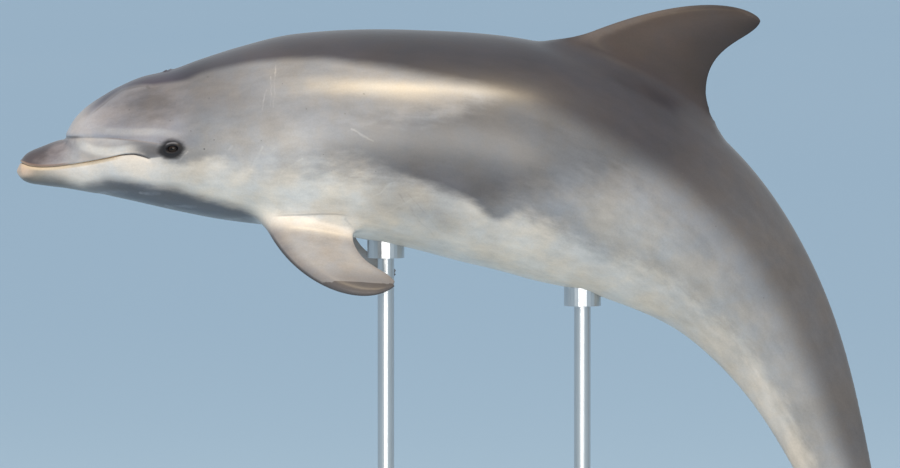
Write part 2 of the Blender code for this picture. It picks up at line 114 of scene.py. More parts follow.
# the line of the closed mouth, and how far back it runs
MOUTH = ((-0.03, 0.01), (0.004, 0.006), (0.013, 0.002), (0.025, -0.0007), (0.04, -0.0018),
         (0.055, -0.0017), (0.07, -0.0012), (0.085, -0.0002), (0.0975, 0.0008), (0.106, 0.0003),
         (0.113, -0.0019), (0.12, -0.0055))
MOUTH_END = 0.12

# the eye: its middle, and in metres the ball, how deep it sits, and half the opening
EYE = (0.1423, 0.0004)
EYE_RADIUS = 0.014
EYE_DEPTH = 0.0105
EYE_OPENING = (0.013, 0.0076)

# the blowhole: its place, and the radius and half turn of its crescent slit
BLOWHOLE = 0.147
BLOWHOLE_RADIUS = 0.016
BLOWHOLE_TURN = math.radians(65.0)

# fins: Bezier edges (leading, trailing), thickness at the root, and the run of the root inwards
DORSAL = {
    "lead": ((0.0, 0.0), (0.0934, 0.1175), (0.1522, 0.1085), (0.1515, 0.101)),
    "trail": ((0.1557, 0.0), (0.1006, 0.0529), (0.1543, 0.0818), (0.1515, 0.101)),
    "thickness": 0.0205, "root": 0.022, "fillet": 0.055,
}
DORSAL_FRONT = (0.4585, 0.0955)
DORSAL_PITCH = math.radians(26.9)
FLIPPER = {
    "lead": ((0.0, 0.0), (0.0243, 0.0734), (0.0927, 0.1031), (0.118, 0.0713)),
    "trail": ((0.0757, 0.0), (0.0794, 0.0556), (0.1087, 0.0488), (0.118, 0.0713)),
    "thickness": 0.0185, "root": 0.026, "fillet": 0.045,
}
FLIPPER_AT = (-0.3904, 0.8847)
FLIPPER_SIDE = 0.041
FLIPPER_SPLAY = math.radians(42.0)
FLUKE = {
    "lead": ((0.92, 0.008), (0.925, 0.045), (0.955, 0.098), (1.006, 0.12)),
    "trail": ((0.999, 0.0005), (1.022, 0.03), (0.992, 0.08), (1.006, 0.12)),
    "thickness": 0.018, "root": 0.0, "fillet": 0.03,
}
FLUKE_RISE = 0.006

# the melon's foot: from over the beak to the eye
BRIDLE = ((0.045, 0.0224), (0.063, 0.0212), (0.073, 0.0198), (0.088, 0.0172), (0.103, 0.0138),
          (0.117, 0.0104), (0.1285, 0.007), (0.16, -0.001))

# a fin's section: how it thins to the tip, how its thickest place lies forward, its least half
TIP_TAPER = 0.55
SPAN_THINNING = 0.25
SECTION_EVEN = 0.6
SECTION_FORWARD = 0.4
SECTION_MOST = 0.7
LEAST_THICKNESS = 0.0006
TIP_SPREAD = 6                     # power by which a fattened fin grows outwards at its tip
ROOT_SHARE = 0.12                  # share of a fin's ball that is its sunken root
TIP_CROWDING = 1.5

# meshes: corners round and rings along each form
BODY_RINGS = (96, 260)
BEAK_RINGS = (64, 60)
FIN_RINGS = (48, 48)
GUIDE_RINGS = (96, 120)
EYE_RINGS = (64, 48)
VOXEL = 0.0078                     # mesh size of the skin
FAT = 0.007                        # how much thicker the fins are while the skin is meshed

# the beak's joint to the head: fillet below, how much crisper it is above which heights, how far
# the front of the head is sunk, in metres, and where along the body that ends
BEAK_FILLET = 0.016
BEAK_CRISPER = 0.011
BEAK_CRISP_HEIGHT = (0.006, 0.017)
HEAD_SUNK = 0.03
HEAD_SUNK_END = (0.031, 0.0455)
HEAD_END = 0.15

# how near the lips, eyelids, blowhole, melon's foot and fin edges the mesh is halved, each time
LIP_BANDS = (0.016, 0.008, 0.0042)
LID_BANDS = (0.046, 0.026, 0.006)
HOLE_BANDS = (0.02, 0.012, 0.005)
FOOT_BANDS = (0.02, 0.008)
RIM_BANDS = (0.012, 0.0036)
LARGE_STEP = 0.012                 # most that a corner moves in one round of settling
SMALL_STEP = 0.004
LEAST_STEEP = 0.15
SETTLED_RIM = (0.02, 0.008)        # how near a fin's edge the halved mesh is settled again
SETTLED_HEAD = 0.19                # in front of which place it is settled too
RELAXED_RIM = 0.006
HELD_RIM = 0.003                   # how near a fin's edge corners are not drawn inwards
EDGE_SHARES = np.linspace(0.1, 0.995, 160)
EDGE_HOLD = (0.1, 0.32)            # span where the hold of the edge sets in
BODY_FRONT = 0.05                  # the snout, meshed finer as a whole
EYE_SIDE = 0.03                    # the eyelids lie farther out than this
TOP_HEIGHT = 0.05                  # and the blowhole higher than this

# last smoothing of the snout's tip, the dorsal fin's rear root, the flukes' notch and front root:
# along from and to, side from and to, least height, rounds
LAST_RELAX = ((-1.0, 0.0045, -1.0, 1.0, -1.0, 8), (0.566, 0.6, -1.0, 0.01, 0.088, 14),
              (0.98, 2.0, -1.0, 0.018, -1.0, 14), (0.9, 0.945, 0.009, 0.032, -1.0, 8))

# sculpted lines, in metres: height (pressed in below 0), place across the line, width
MOUTH_LINES = ((-0.0034, 0.0, 0.0012), (0.0011, 0.0034, 0.0026), (-0.0008, -0.0032, 0.0026))
MOUTH_CORNER = ((-0.0018, 0.0, 0.006),)
MOUTH_FADE = (-0.006, 0.001)
EYE_BULGE = ((0.0026, 0.0, 0.016),)
LID_ROLL = ((0.0012, 0.001, 0.0026),)
LID_CREASE = ((-0.0012, 0.0068, 0.0016),)
LID_UPPER = (-0.004, 0.006)        # from where on the upper lid is heavier
BALL_GAP = 0.0012
SOCKET_DEPTH = -0.003
SOCKET_EDGE = (0.0002, 0.0016)
SLIT_LINES = ((-0.005, 0.0, 0.0016), (0.0016, 0.0045, 0.0035))
PLUG = ((0.0012, 0.0, 0.012),)
PLUG_BACK = 0.002


# ---------------------------------------------------------------- curves and the body's axis
def smooth(table, places):
    """Monotone cubic through a table of (place, value) pairs, flat past its ends."""
    xs = np.array([row[0] for row in table], float)
    ys = np.array([row[1] for row in table], float)
    steps = np.diff(xs)
    slopes = np.diff(ys) / steps
    tangents = np.zeros(len(xs))
    tangents[0] = slopes[0]
    tangents[-1] = slopes[-1]
    for i in range(1, len(steps)):
        if slopes[i - 1] * slopes[i] > 0.0:
            before = 2.0 * steps[i] + steps[i - 1]
            after = steps[i] + 2.0 * steps[i - 1]
            tangents[i] = (before + after) / (before / slopes[i - 1] + after / slopes[i])
    places = np.clip(np.asarray(places, float), xs[0], xs[-1])
    i = np.clip(np.searchsorted(xs, places) - 1, 0, len(steps) - 1)
    t = (places - xs[i]) / steps[i]
    start = ys[i] * (2 * t ** 3 - 3 * t ** 2 + 1)
    start += steps[i] * tangents[i] * (t ** 3 - 2 * t ** 2 + t)
    end = ys[i + 1] * (3 * t ** 2 - 2 * t ** 3)
    end += steps[i] * tangents[i + 1] * (t ** 3 - t ** 2)
    return start + end


FINE = np.linspace(-0.06, 1.08, 4561)      # where each table is worked out once
COARSE = np.arange(-0.05, 1.07, 0.01)      # where the search for a point's place starts
ALONG_ENDS = (-0.055, 1.075)
LEAST_STRETCH = 0.3


def walk_axis():
    """X, Z and pitch of the axis at every place in FINE."""
    pitch = np.radians(smooth(PITCH, FINE))
    middle = (pitch[1:] + pitch[:-1]) / 2
    step = np.diff(FINE) * LENGTH
    x = np.concatenate([[0.0], np.cumsum(step * np.cos(middle))])
    z = np.concatenate([[0.0], np.cumsum(-step * np.sin(middle))])
    x += SNOUT_X - np.interp(0.0, FINE, x)
    z += SNOUT_Z - np.interp(0.0, FINE, z)
    return x, z, pitch


AXIS_X, AXIS_Z, AXIS_PITCH = walk_axis()
AXIS_BEND = np.gradient(AXIS_PITCH, FINE)


def tabulate(form):
    """A form's tables, each worked out once at every place in FINE."""
    return {name: smooth(table, FINE) for name, table in form.items() if name != "ends"}


BODY_TABLES = tabulate(BODY)
BEAK_TABLES = tabulate(BEAK)


def to_world(along, side, height):
    """World points, one a row, of places on the body."""
    along = np.asarray(along, float)
    pitch = np.interp(along, FINE, AXIS_PITCH)
    x = np.interp(along, FINE, AXIS_X) + LENGTH * height * np.sin(pitch)
    z = np.interp(along, FINE, AXIS_Z) + LENGTH * height * np.cos(pitch)
    return np.stack([x, LENGTH * side + 0 * x, z], -1)


def to_body(points):
    """along, side and height of world points."""
    coarse_x = np.interp(COARSE, FINE, AXIS_X)
    coarse_z = np.interp(COARSE, FINE, AXIS_Z)
    away = (points[:, :1] - coarse_x) ** 2 + (points[:, 2:3] - coarse_z) ** 2
    along = COARSE[np.argmin(away, axis=1)]
    for _ in range(5):
        pitch = np.interp(along, FINE, AXIS_PITCH)
        dx = points[:, 0] - np.interp(along, FINE, AXIS_X)
        dz = points[:, 2] - np.interp(along, FINE, AXIS_Z)
        down = dx * np.cos(pitch) - dz * np.sin(pitch)
        up = dx * np.sin(pitch) + dz * np.cos(pitch)
        stretch = 1 + up / LENGTH * np.interp(along, FINE, AXIS_BEND)
        along = along + down / (LENGTH * np.maximum(stretch, LEAST_STRETCH))
        along = np.clip(along, *ALONG_ENDS)
    return along, points[:, 1] / LENGTH, up / LENGTH


# ---------------------------------------------------------------- forms as distance fields
def form_value(tables, along, side, height, lean=0.0):
    """Below 0 inside a form, 0 on its surface, above 0 outside."""
    def look(name, place):
        return np.interp(place, FINE, tables[name])

    place = along
    for _ in range(2 if lean else 1):
        widest = look("widest", place)
        above = height > widest
        reach = np.where(above, look("back", place) - widest, widest - look("belly", place))
        up = (height - widest) / np.maximum(reach, 1e-4)
        if lean:
            shift = lean * np.maximum(0.0, 1 - place / BEAK_LEAN_END) ** 2
            place = along - shift * np.clip(up, 0.0, 1.0)
    out = np.abs(side) / np.maximum(look("half", place), 1e-4)
    keel = np.where(above, look("keel_above", place), look("keel_below", place))
    round_out = out
    for _ in range(4):
        share = up * up / np.maximum(up * up + round_out * round_out, 1e-9)
        round_out = out / (1 - keel * share)
    return np.sqrt(up * up + round_out * round_out) - 1


def form_distance(form, tables, points, lean=0.0):
    """Signed distance to a form in metres, and its direction, for world points."""
    along, side, height = to_body(points)
    tiny = 2e-4

    def steepness(step_along, step_height):
        ahead = form_value(tables, along + step_along, side, height + step_height, lean)
        behind = form_value(tables, along - step_along, side, height - step_height, lean)
        return (ahead - behind) / (2 * tiny)

    value = form_value(tables, along, side, height, lean)
    d_along = steepness(tiny, 0.0)
    d_height = steepness(0.0, tiny)
    d_side = (form_value(tables, along, np.abs(side) + tiny, height, lean) - value) / tiny
    d_side = d_side * np.where(side < 0, -1.0, 1.0)
    pitch = np.interp(along, FINE, AXIS_PITCH)
    stretch = 1 + height * np.interp(along, FINE, AXIS_BEND)
    tail = np.stack([np.cos(pitch), 0 * pitch, -np.sin(pitch)], -1)
    top = np.stack([np.sin(pitch), 0 * pitch, np.cos(pitch)], -1)
    slope = tail * (d_along / (LENGTH * stretch))[:, None] + top * (d_height / LENGTH)[:, None]
    slope[:, 1] += d_side / LENGTH
    steep = np.maximum(np.linalg.norm(slope, axis=1), 1e-6)
    distance = value / steep
    direction = slope / steep[:, None]
    for sign, end in zip((-1.0, 1.0), form["ends"]):
        past = sign * (along - end) * LENGTH
        outside = past > distance
        distance = np.where(outside, past, distance)
        direction = np.where(outside[:, None], sign * tail, direction)
    return distance, direction


def soft_union(one, other, softness):
    """Two (distance, direction) fields joined with a fillet."""
    near = np.clip(0.5 + 0.5 * (other[0] - one[0]) / softness, 0.0, 1.0)
    distance = other[0] + (one[0] - other[0]) * near - softness * near * (1 - near)
    return distance, other[1] + (one[1] - other[1]) * near[:, None]


# ---------------------------------------------------------------- fins as surfaces
def bezier(points, t):
    """Points of a cubic Bezier curve."""
    a, b, c, d = (np.array(p, float) for p in points)
    t = np.asarray(t, float)[..., None]
    return (1 - t) ** 3 * a + 3 * (1 - t) ** 2 * t * b + 3 * (1 - t) * t * t * c + t ** 3 * d


def fin_frame(kind, side):
    """A flat fin's front root, and its directions along the chord, the span and across."""
    if kind == "dorsal":
        start = to_world(DORSAL_FRONT[0], 0.0, DORSAL_FRONT[1])
        chord = np.array([math.cos(DORSAL_PITCH), 0.0, -math.sin(DORSAL_PITCH)])
        span = np.array([math.sin(DORSAL_PITCH), 0.0, math.cos(DORSAL_PITCH)])
        return start, chord, span, np.array([0.0, 1.0, 0.0])
    start = np.array([FLIPPER_AT[0], side * FLIPPER_SIDE * LENGTH, FLIPPER_AT[1]])
    span = np.array([0.0, side * math.sin(FLIPPER_SPLAY), -math.cos(FLIPPER_SPLAY)])
    normal = np.array([0.0, side * math.cos(FLIPPER_SPLAY), math.sin(FLIPPER_SPLAY)])
    return start, np.array([1.0, 0.0, 0.0]), span, normal


def flat_world(kind, chordwise, spanwise, bulge, side):
    """World points of places on a flat fin."""
    start, chord, span, normal = fin_frame(kind, side)
    flat = chordwise[..., None] * chord + spanwise[..., None] * span
    return start + LENGTH * (flat + bulge[..., None] * normal)


def dorsal_world(*where):
    return flat_world("dorsal", *where)


def flipper_world(*where):
    return flat_world("flipper", *where)


def fluke_world(along, out, bulge, side):
    """World points on a fluke, whose tips rise a little."""
    rise = FLUKE_RISE * (out / FLUKE["lead"][3][1]) ** 2
    return to_world(along, side * out, bulge + rise)


FINS = (
    ("dorsal", DORSAL, dorsal_world, 1),
    ("flipper", FLIPPER, flipper_world, -1),
    ("flipper", FLIPPER, flipper_world, 1),
    ("fluke", FLUKE, fluke_world, -1),
    ("fluke", FLUKE, fluke_world, 1),
)


def fin_points(fin, place, side, span, angle, fat):
    """World points on a fin at spans 0 (root) to 1 (tip), and angles round its section."""
    front = bezier(fin["lead"], span)
    back = bezier(fin["trail"], span)
    chord = back - front
    chord /= np.maximum(np.linalg.norm(chord, axis=-1, keepdims=True), 1e-9)
    root_chord = np.array(fin["trail"][0]) - np.array(fin["lead"][0])
    root_chord /= np.linalg.norm(root_chord)
    outward = np.array([-root_chord[1], root_chord[0]])
    outward *= np.sign(np.dot(outward, np.array(fin["lead"][3]) - np.array(fin["lead"][0])))
    chord = np.where(span[..., None] > 0.999, root_chord, chord)
    grow = fat / LENGTH
    spread = grow * outward * span[..., None] ** TIP_SPREAD
    front = front - grow * chord + spread
    back = back + grow * chord + spread
    thick = fin["thickness"] / 2 * (1 - span) ** TIP_TAPER * (1 - SPAN_THINNING * span) + grow
    if fat == 0.0:
        thick = np.maximum(thick, LEAST_THICKNESS)
    across = (1 - np.cos(angle)) / 2
    bulge = np.sin(angle) * (SECTION_EVEN + SECTION_FORWARD * np.cos(angle)) / SECTION_MOST
    if fat:
        bulge = np.sign(bulge) * np.abs(bulge) ** 0.5
    flat = front + (back - front) * across[..., None]
    return place(flat[..., 0], flat[..., 1], thick * bulge, side)


# ---------------------------------------------------------------- modelling helpers
def deselect():
    for chosen in list(bpy.context.selected_objects):
        chosen.select_set(False)


def activate(made):
    deselect()
    made.select_set(True)
    bpy.context.view_layer.objects.active = made


def get_points(made):
    points = np.empty(len(made.data.vertices) * 3)
    made.data.vertices.foreach_get("co", points)
    return points.reshape(-1, 3)


def set_points(made, points):
    made.data.vertices.foreach_set("co", np.ascontiguousarray(points).ravel())
    made.data.update()


def store(made, name, values):
    """Keep a number, or a vector, at every corner of a mesh for its material to read."""
    values = np.asarray(values, np.float32)
    kind, key = ("FLOAT", "value") if values.ndim == 1 else ("FLOAT_VECTOR", "vector")
    layer = made.data.attributes.new(name, kind, "POINT")
    layer.data.foreach_set(key, np.ascontiguousarray(values).ravel())


def ball(name, around, rings):
    """A sphere primitive to be shaped, with each corner's latitude (0 to 1) and longitude."""
    bpy.ops.mesh.primitive_uv_sphere_add(segments=around, ring_count=rings, radius=1.0)
    made = bpy.context.object
    made.name = name
    made.data.name = name
    points = get_points(made)
    latitude = np.arccos(np.clip(points[:, 2], -1, 1)) / math.pi
    longitude = np.arctan2(points[:, 1], points[:, 0])
    return made, latitude, longitude


def form_ball(name, form, tables, around, rings, lean=0.0):
    """A closed loft of a form, shaped from a sphere."""
    made, latitude, angle = ball(name, around, rings)
    first, last = form["ends"]
    along = first + (last - first) * latitude
    pole = (latitude < 1e-6) | (latitude > 1 - 1e-6)
    up = np.cos(angle)
    out = np.sin(angle)
    look = {key: np.interp(along, FINE, table) for key, table in tables.items()}
    reach = np.where(up > 0, look["back"] - look["widest"], look["widest"] - look["belly"])
    keel = np.where(up > 0, look["keel_above"], look["keel_below"])
    side = np.where(pole, 0.0, look["half"] * out * (1 - keel * up * up))
    height = np.where(pole, look["widest"], look["widest"] + reach * up)
    shift = lean * np.maximum(0.0, 1 - along / BEAK_LEAN_END) ** 2 * np.maximum(up, 0.0)
    set_points(made, to_world(along + np.where(pole, 0.0, shift), side, height))
    return made


def fin_ball(name, fin, place, side, around, rings, fat=0.0):
    """A closed fin, shaped from a sphere whose poles are the root and the tip."""
    made, latitude, angle = ball(name, around, rings)
    root_part = ROOT_SHARE if fin["root"] else 0.0
    span = np.clip((latitude - root_part) / (1 - root_part), 0.0, 1.0)
    span = 1 - (1 - span) ** TIP_CROWDING
    depth = fin["root"] * np.clip(1 - latitude / max(root_part, 1e-6), 0.0, 1.0)

    def sunk(chordwise, spanwise, bulge, which):
        return place(chordwise, spanwise - depth, bulge, which)

    points = fin_points(fin, sunk, side, span, angle, fat)
    root = latitude < 1e-6
    points[root] = points[latitude < np.min(latitude[~root]) + 1e-6].mean(0)
    set_points(made, points)
    return made


def join(name, pieces):
    """One object made of several."""
    deselect()
    for piece in pieces:
        piece.select_set(True)
    bpy.context.view_layer.objects.active = pieces[0]
    bpy.ops.object.join()
    made = bpy.context.object
    made.name = name
    made.data.name = name
    return made


def outward(made):
    """Turn all faces to look outwards."""
    activate(made)
    bpy.ops.object.mode_set(mode="EDIT")
    bpy.ops.mesh.select_all(action="SELECT")
    bpy.ops.mesh.normals_make_consistent(inside=False)
    bpy.ops.object.mode_set(mode="OBJECT")


def edit_corners(made, chosen):
    """Go into edit mode with the corners of a mask selected."""
    activate(made)
    mesh = made.data
    bpy.ops.object.mode_set(mode="EDIT")
    bpy.ops.mesh.select_mode(type="VERT")
    bpy.ops.mesh.select_all(action="DESELECT")
    bpy.ops.object.mode_set(mode="OBJECT")
    mesh.vertices.foreach_set("select", chosen)
    bpy.ops.object.mode_set(mode="EDIT")


# ---------------------------------------------------------------- the skin's shape
class Fin:
    """A fin's fine surface, and how far points near it are from it."""

    MARGIN = 0.005                 # metres past the fillet
    INSIDE = -0.7                  # a point is inside where it lies this squarely behind a face

    def __init__(self, kind, fin, place, side):
        shape = fin_ball("fin_guide", fin, place, side, *GUIDE_RINGS)
        outward(shape)
        self.kind = kind
        self.side = side
        self.fin = fin
        self.fillet = fin["fillet"]
        corners = get_points(shape)
        self.low = corners.min(0) - self.fillet - self.MARGIN
        self.high = corners.max(0) + self.fillet + self.MARGIN
        faces = [tuple(face.vertices) for face in shape.data.polygons]
        self.tree = BVHTree.FromPolygons([Vector(c) for c in corners], faces)
        bpy.data.objects.remove(shape)

    def distance(self, points):
        """(mask of the points near enough to matter, their distances and directions)"""
        near = np.all((points > self.low) & (points < self.high), axis=1)
        found = np.empty((near.sum(), 4))
        for row, point in enumerate(points[near]):
            spot, normal, _, gap = self.tree.find_nearest(Vector(point))
            away = Vector(point) - spot
            sign = -1.0 if away.dot(normal) < self.INSIDE * gap else 1.0
            if gap > 1e-5:
                normal = away * (sign / gap)
            found[row] = (sign * gap, *normal)
        return near, found[:, 0], found[:, 1:]


def ramp(values, low, high):
    """0 at low, 1 at high, and smooth between."""
    t = np.clip((np.asarray(values, float) - low) / (high - low), 0.0, 1.0)
    return t * t * (3 - 2 * t)


def curve_gap(table, along, height):
    """Metres from a curve drawn along the body, above it positive."""
    tiny = 1e-3
    slope = (smooth(table, along + tiny) - smooth(table, along - tiny)) / (2 * tiny)
    return (height - smooth(table, along)) * LENGTH / np.sqrt(1 + slope ** 2)


def head_distance(points, body):
    """The body's field with the beak joined to it: crisp on top, flowing below."""
    distance, direction = body
    ahead = points[:, 0] < to_world(HEAD_END, 0.0, 0.0)[0]
    head = points[ahead]
    beak = form_distance(BEAK, BEAK_TABLES, head, BEAK_LEAN)
    along, _, height = to_body(head)
    softness = BEAK_FILLET - BEAK_CRISPER * ramp(height, *BEAK_CRISP_HEIGHT)
    sunk = distance[ahead] + HEAD_SUNK * (1 - ramp(along, *HEAD_SUNK_END))
    both = soft_union((sunk, direction[ahead]), beak, softness)
    distance[ahead] = both[0]
    direction[ahead] = both[1]
    return distance, direction


def skin_distance(points, fins):
    """Distance and direction to the whole skin: body, beak and fins with their fillets."""
    distance, direction = head_distance(points, form_distance(BODY, BODY_TABLES, points))
    for fin in fins:
        near, gap, normal = fin.distance(points)
        both = soft_union((distance[near], direction[near]), (gap, normal), fin.fillet)
        distance[near] = both[0]
        direction[near] = both[1]
    return distance, direction


def settle(made, fins, rounds=3, limit=LARGE_STEP, chosen=None):
    """Bring the corners of the mesh, or some of them, onto the skin's surface."""
    points = get_points(made)
    chosen = np.ones(len(points), bool) if chosen is None else chosen
    some = points[chosen]
    for _ in range(rounds):
        distance, direction = skin_distance(some, fins)
        steep = np.maximum((direction ** 2).sum(1), LEAST_STEEP)
        step = np.clip(distance / steep, -limit, limit)
        some -= direction * step[:, None]
    points[chosen] = some
    set_points(made, points)


def relax(made, chosen=None, repeat=3):
    """Even out the corners; those on a fin's rim slide along it but are not drawn inwards."""
    before = get_points(made)
    chosen = np.ones(len(before), bool) if chosen is None else chosen
    edit_corners(made, chosen)
    bpy.ops.mesh.vertices_smooth(factor=0.5, repeat=repeat)
    bpy.ops.object.mode_set(mode="OBJECT")
    after = get_points(made)
    gap, outward_way = fin_edge(before)
    rim = gap < HELD_RIM
    drawn = ((after - before) * outward_way).sum(1)
    after[rim] -= outward_way[rim] * drawn[rim, None]
    set_points(made, after)


def refine(made, chosen):
    """Halve the mesh size where a mask of corners says."""
    edit_corners(made, chosen)
    bpy.ops.mesh.subdivide(number_cuts=1, smoothness=0.0, ngon=False)
    bpy.ops.object.mode_set(mode="OBJECT")


def eye_place(along, height):
    """Metres behind and above the middle of the eye."""
    return (along - EYE[0]) * LENGTH, (height - EYE[1]) * LENGTH


def blowhole_place(along, side):
    """Metres from the blowhole's arc, and the angle along it."""
    back = (along - BLOWHOLE) * LENGTH + BLOWHOLE_RADIUS
    across = side * LENGTH
    return np.hypot(back, across) - BLOWHOLE_RADIUS, np.abs(np.arctan2(across, back))


def fine_places(points, level):
    """The corners that need a finer mesh: lips, eyelids, melon's foot, blowhole, fin edges."""
    along, side, height = to_body(points)
    lips = np.abs(curve_gap(MOUTH, along, height)) < LIP_BANDS[level]
    chosen = lips & (along < MOUTH_END + 0.002)
    back, up = eye_place(along, height)
    from_eye = np.hypot(back, up) if level < 2 else np.abs(opening(back, up))
    chosen |= (from_eye < LID_BANDS[level]) & (np.abs(side) > EYE_SIDE)
    arc, turn = blowhole_place(along, side)
    slit = (np.abs(arc) < HOLE_BANDS[level]) & (turn < BLOWHOLE_TURN + 0.35)
    chosen |= slit & (height > TOP_HEIGHT)
    if level < 2:
        foot = np.abs(curve_gap(BRIDLE, along, height)) < FOOT_BANDS[level]
        chosen |= foot & (along < BEAK["ends"][1])
        chosen |= fin_edge(points)[0] < RIM_BANDS[level]
    if level == 0:
        chosen |= along < BODY_FRONT
    return chosen


def fin_edge(points):
    """Metres from the nearest fin edge (1 where no fin is near), and the way out of the fin."""
    gap = np.ones(len(points))
    way = np.zeros((len(points), 3))
    hold = np.sqrt(ramp(EDGE_SHARES, *EDGE_HOLD))[:, None]
    for _, fin, place, side in FINS:
        front, back = (fin_points(fin, place, side, EDGE_SHARES, 0 * EDGE_SHARES + angle, 0.0)
                       for angle in (0.0, math.pi))
        for edge, other in ((front, back), (back, front)):
            run = np.gradient(edge, axis=0)
            run /= np.linalg.norm(run, axis=1, keepdims=True)
            out = edge - other
            out -= run * (out * run).sum(1)[:, None]
            out *= hold / np.maximum(np.linalg.norm(out, axis=1, keepdims=True), 1e-9)
            near = np.flatnonzero(np.all((points > edge.min(0) - 0.02)
                                         & (points < edge.max(0) + 0.02), axis=1))
            away = np.sqrt(((points[near][:, None, :] - edge[None]) ** 2).sum(2))
            best = away.argmin(1)
            away = away[np.arange(len(near)), best]
            closer = away < gap[near]
            gap[near[closer]] = away[closer]
            way[near[closer]] = out[best[closer]]
    return gap, way


def opening(back, up):
    """Metres outside the edge of the eyelids' opening, roughly, and negative inside it."""
    long, tall = EYE_OPENING
    ring = np.sqrt((back / long) ** 2 + (up / tall) ** 2)
    steep = np.sqrt((back / long ** 2) ** 2 + (up / tall ** 2) ** 2) / np.maximum(ring, 1e-4)
    return (ring - 1) / np.maximum(steep, 1e-3)


def bell(values, width):
    return np.exp(-(values / width) ** 2)


def ridges(gap, rows):
    """Relief of lines drawn side by side, for metres across them."""
    return sum(height * bell(gap - middle, width) for height, middle, width in rows)


def mouth_relief(along, height):
    """Groove between the jaws, under the rolled edge of the upper lip."""
    relief = ridges(curve_gap(MOUTH, along, height), MOUTH_LINES)
    shut = 1 - ramp(along, MOUTH_END + MOUTH_FADE[0], MOUTH_END + MOUTH_FADE[1])
    corner = np.hypot((along - MOUTH_END) * LENGTH, (height - MOUTH[-1][1]) * LENGTH)
    return relief * shut + ridges(corner, MOUTH_CORNER)


def eyelid_relief(along, side, height):
    """The eye's gentle bulge, both lids with the crease above, and the skin behind the ball."""
    back, up = eye_place(along, height)
    edge = opening(back, up)
    outside = np.maximum(edge, 0.0)
    above = ramp(up, *LID_UPPER)
    lid = ridges(outside, EYE_BULGE) + (1 + above) * ridges(outside, LID_ROLL)
    lid += ridges(outside, LID_CREASE) * (0.25 + 0.75 * above) * ramp(edge, 0.0, 0.002)
    from_middle = np.hypot(back, up)
    eyeball = np.sqrt(np.maximum(EYE_RADIUS ** 2 - from_middle ** 2, 0.0)) - EYE_DEPTH
    socket = np.maximum(eyeball - BALL_GAP, SOCKET_DEPTH)
    lid += (socket - lid) * ramp(-edge, *SOCKET_EDGE)
    return np.where((np.abs(side) > 0.02) & (from_middle < 0.05), lid, 0.0)


def blowhole_relief(along, side, height):
    """Crescent slit with a soft raised rim."""
    arc, turn = blowhole_place(along, side)
    ends = 1 - ramp(turn, BLOWHOLE_TURN - 0.25, BLOWHOLE_TURN + 0.05)
    plug = np.hypot((along - BLOWHOLE) * LENGTH + PLUG_BACK, side * LENGTH)
    relief = ridges(np.abs(arc), SLIT_LINES) * ends + ridges(plug, PLUG)
    return np.where(height > TOP_HEIGHT, relief, 0.0)


def fold_relief(along, side, height):
    """The melon's foot, the chin's groove, and the fold over the flipper."""
    relief = 0.0
    for curve, rows, (start, full, still, end), least in FOLDS:
        reach = ramp(along, start, full) * (1 - ramp(along, still, end))
        fold = ridges(curve_gap(curve, along, height), rows) * reach
        relief = relief + np.where(np.abs(side) > least, fold, 0.0)
    return relief


def sculpt(skin, fins):
    """Press the mouth, eyelids, blowhole and folds into the skin."""
    points = get_points(skin)
    along, side, height = to_body(points)
    _, direction = skin_distance(points, fins)
    direction /= np.maximum(np.linalg.norm(direction, axis=1, keepdims=True), 1e-6)
    relief = mouth_relief(along, height)
    relief += eyelid_relief(along, side, height)
    relief += blowhole_relief(along, side, height)
    relief += fold_relief(along, side, height)
    set_points(skin, points + direction * relief[:, None])
    return along, side, height, relief


def make_skin():
    """The body, beak and fins fused, settled onto their blended surface and refined."""
    pieces = [form_ball("skin", BODY, BODY_TABLES, *BODY_RINGS),
              form_ball("beak", BEAK, BEAK_TABLES, *BEAK_RINGS, BEAK_LEAN)]
    for kind, fin, place, side in FINS:
        pieces.append(fin_ball(kind, fin, place, side, *FIN_RINGS, FAT))
    for piece in pieces:
        outward(piece)
    skin = join("skin", pieces)
    remesh = skin.modifiers.new("Remesh", "REMESH")
    remesh.mode = "VOXEL"
    remesh.voxel_size = VOXEL
    bpy.ops.object.modifier_apply(modifier=remesh.name)
    fins = [Fin(*row) for row in FINS]
    for _ in range(2):
        settle(skin, fins)
        relax(skin)
    settle(skin, fins)
    for level in range(3):
        refine(skin, fine_places(get_points(skin), level))
        points = get_points(skin)
        along, _, _ = to_body(points)
        for _ in range(2):
            relax(skin, fine_places(points, level), 2)
            settle(skin, [], 2, SMALL_STEP, along < SETTLED_HEAD)
            if level < 2:
                edge = fin_edge(get_points(skin))[0] < SETTLED_RIM[level]
                settle(skin, fins, 2, SMALL_STEP, edge)
    points = get_points(skin)
    relax(skin, fin_edge(points)[0] < RELAXED_RIM, 4)
    along, side, height = to_body(points)
    side = np.abs(side)
    for first, last, inner, outer, least, rounds in LAST_RELAX:
        chosen = (along > first) & (along < last) & (side > inner) & (side < outer)
        relax(skin, chosen & (height > least), rounds)
    return skin, fins


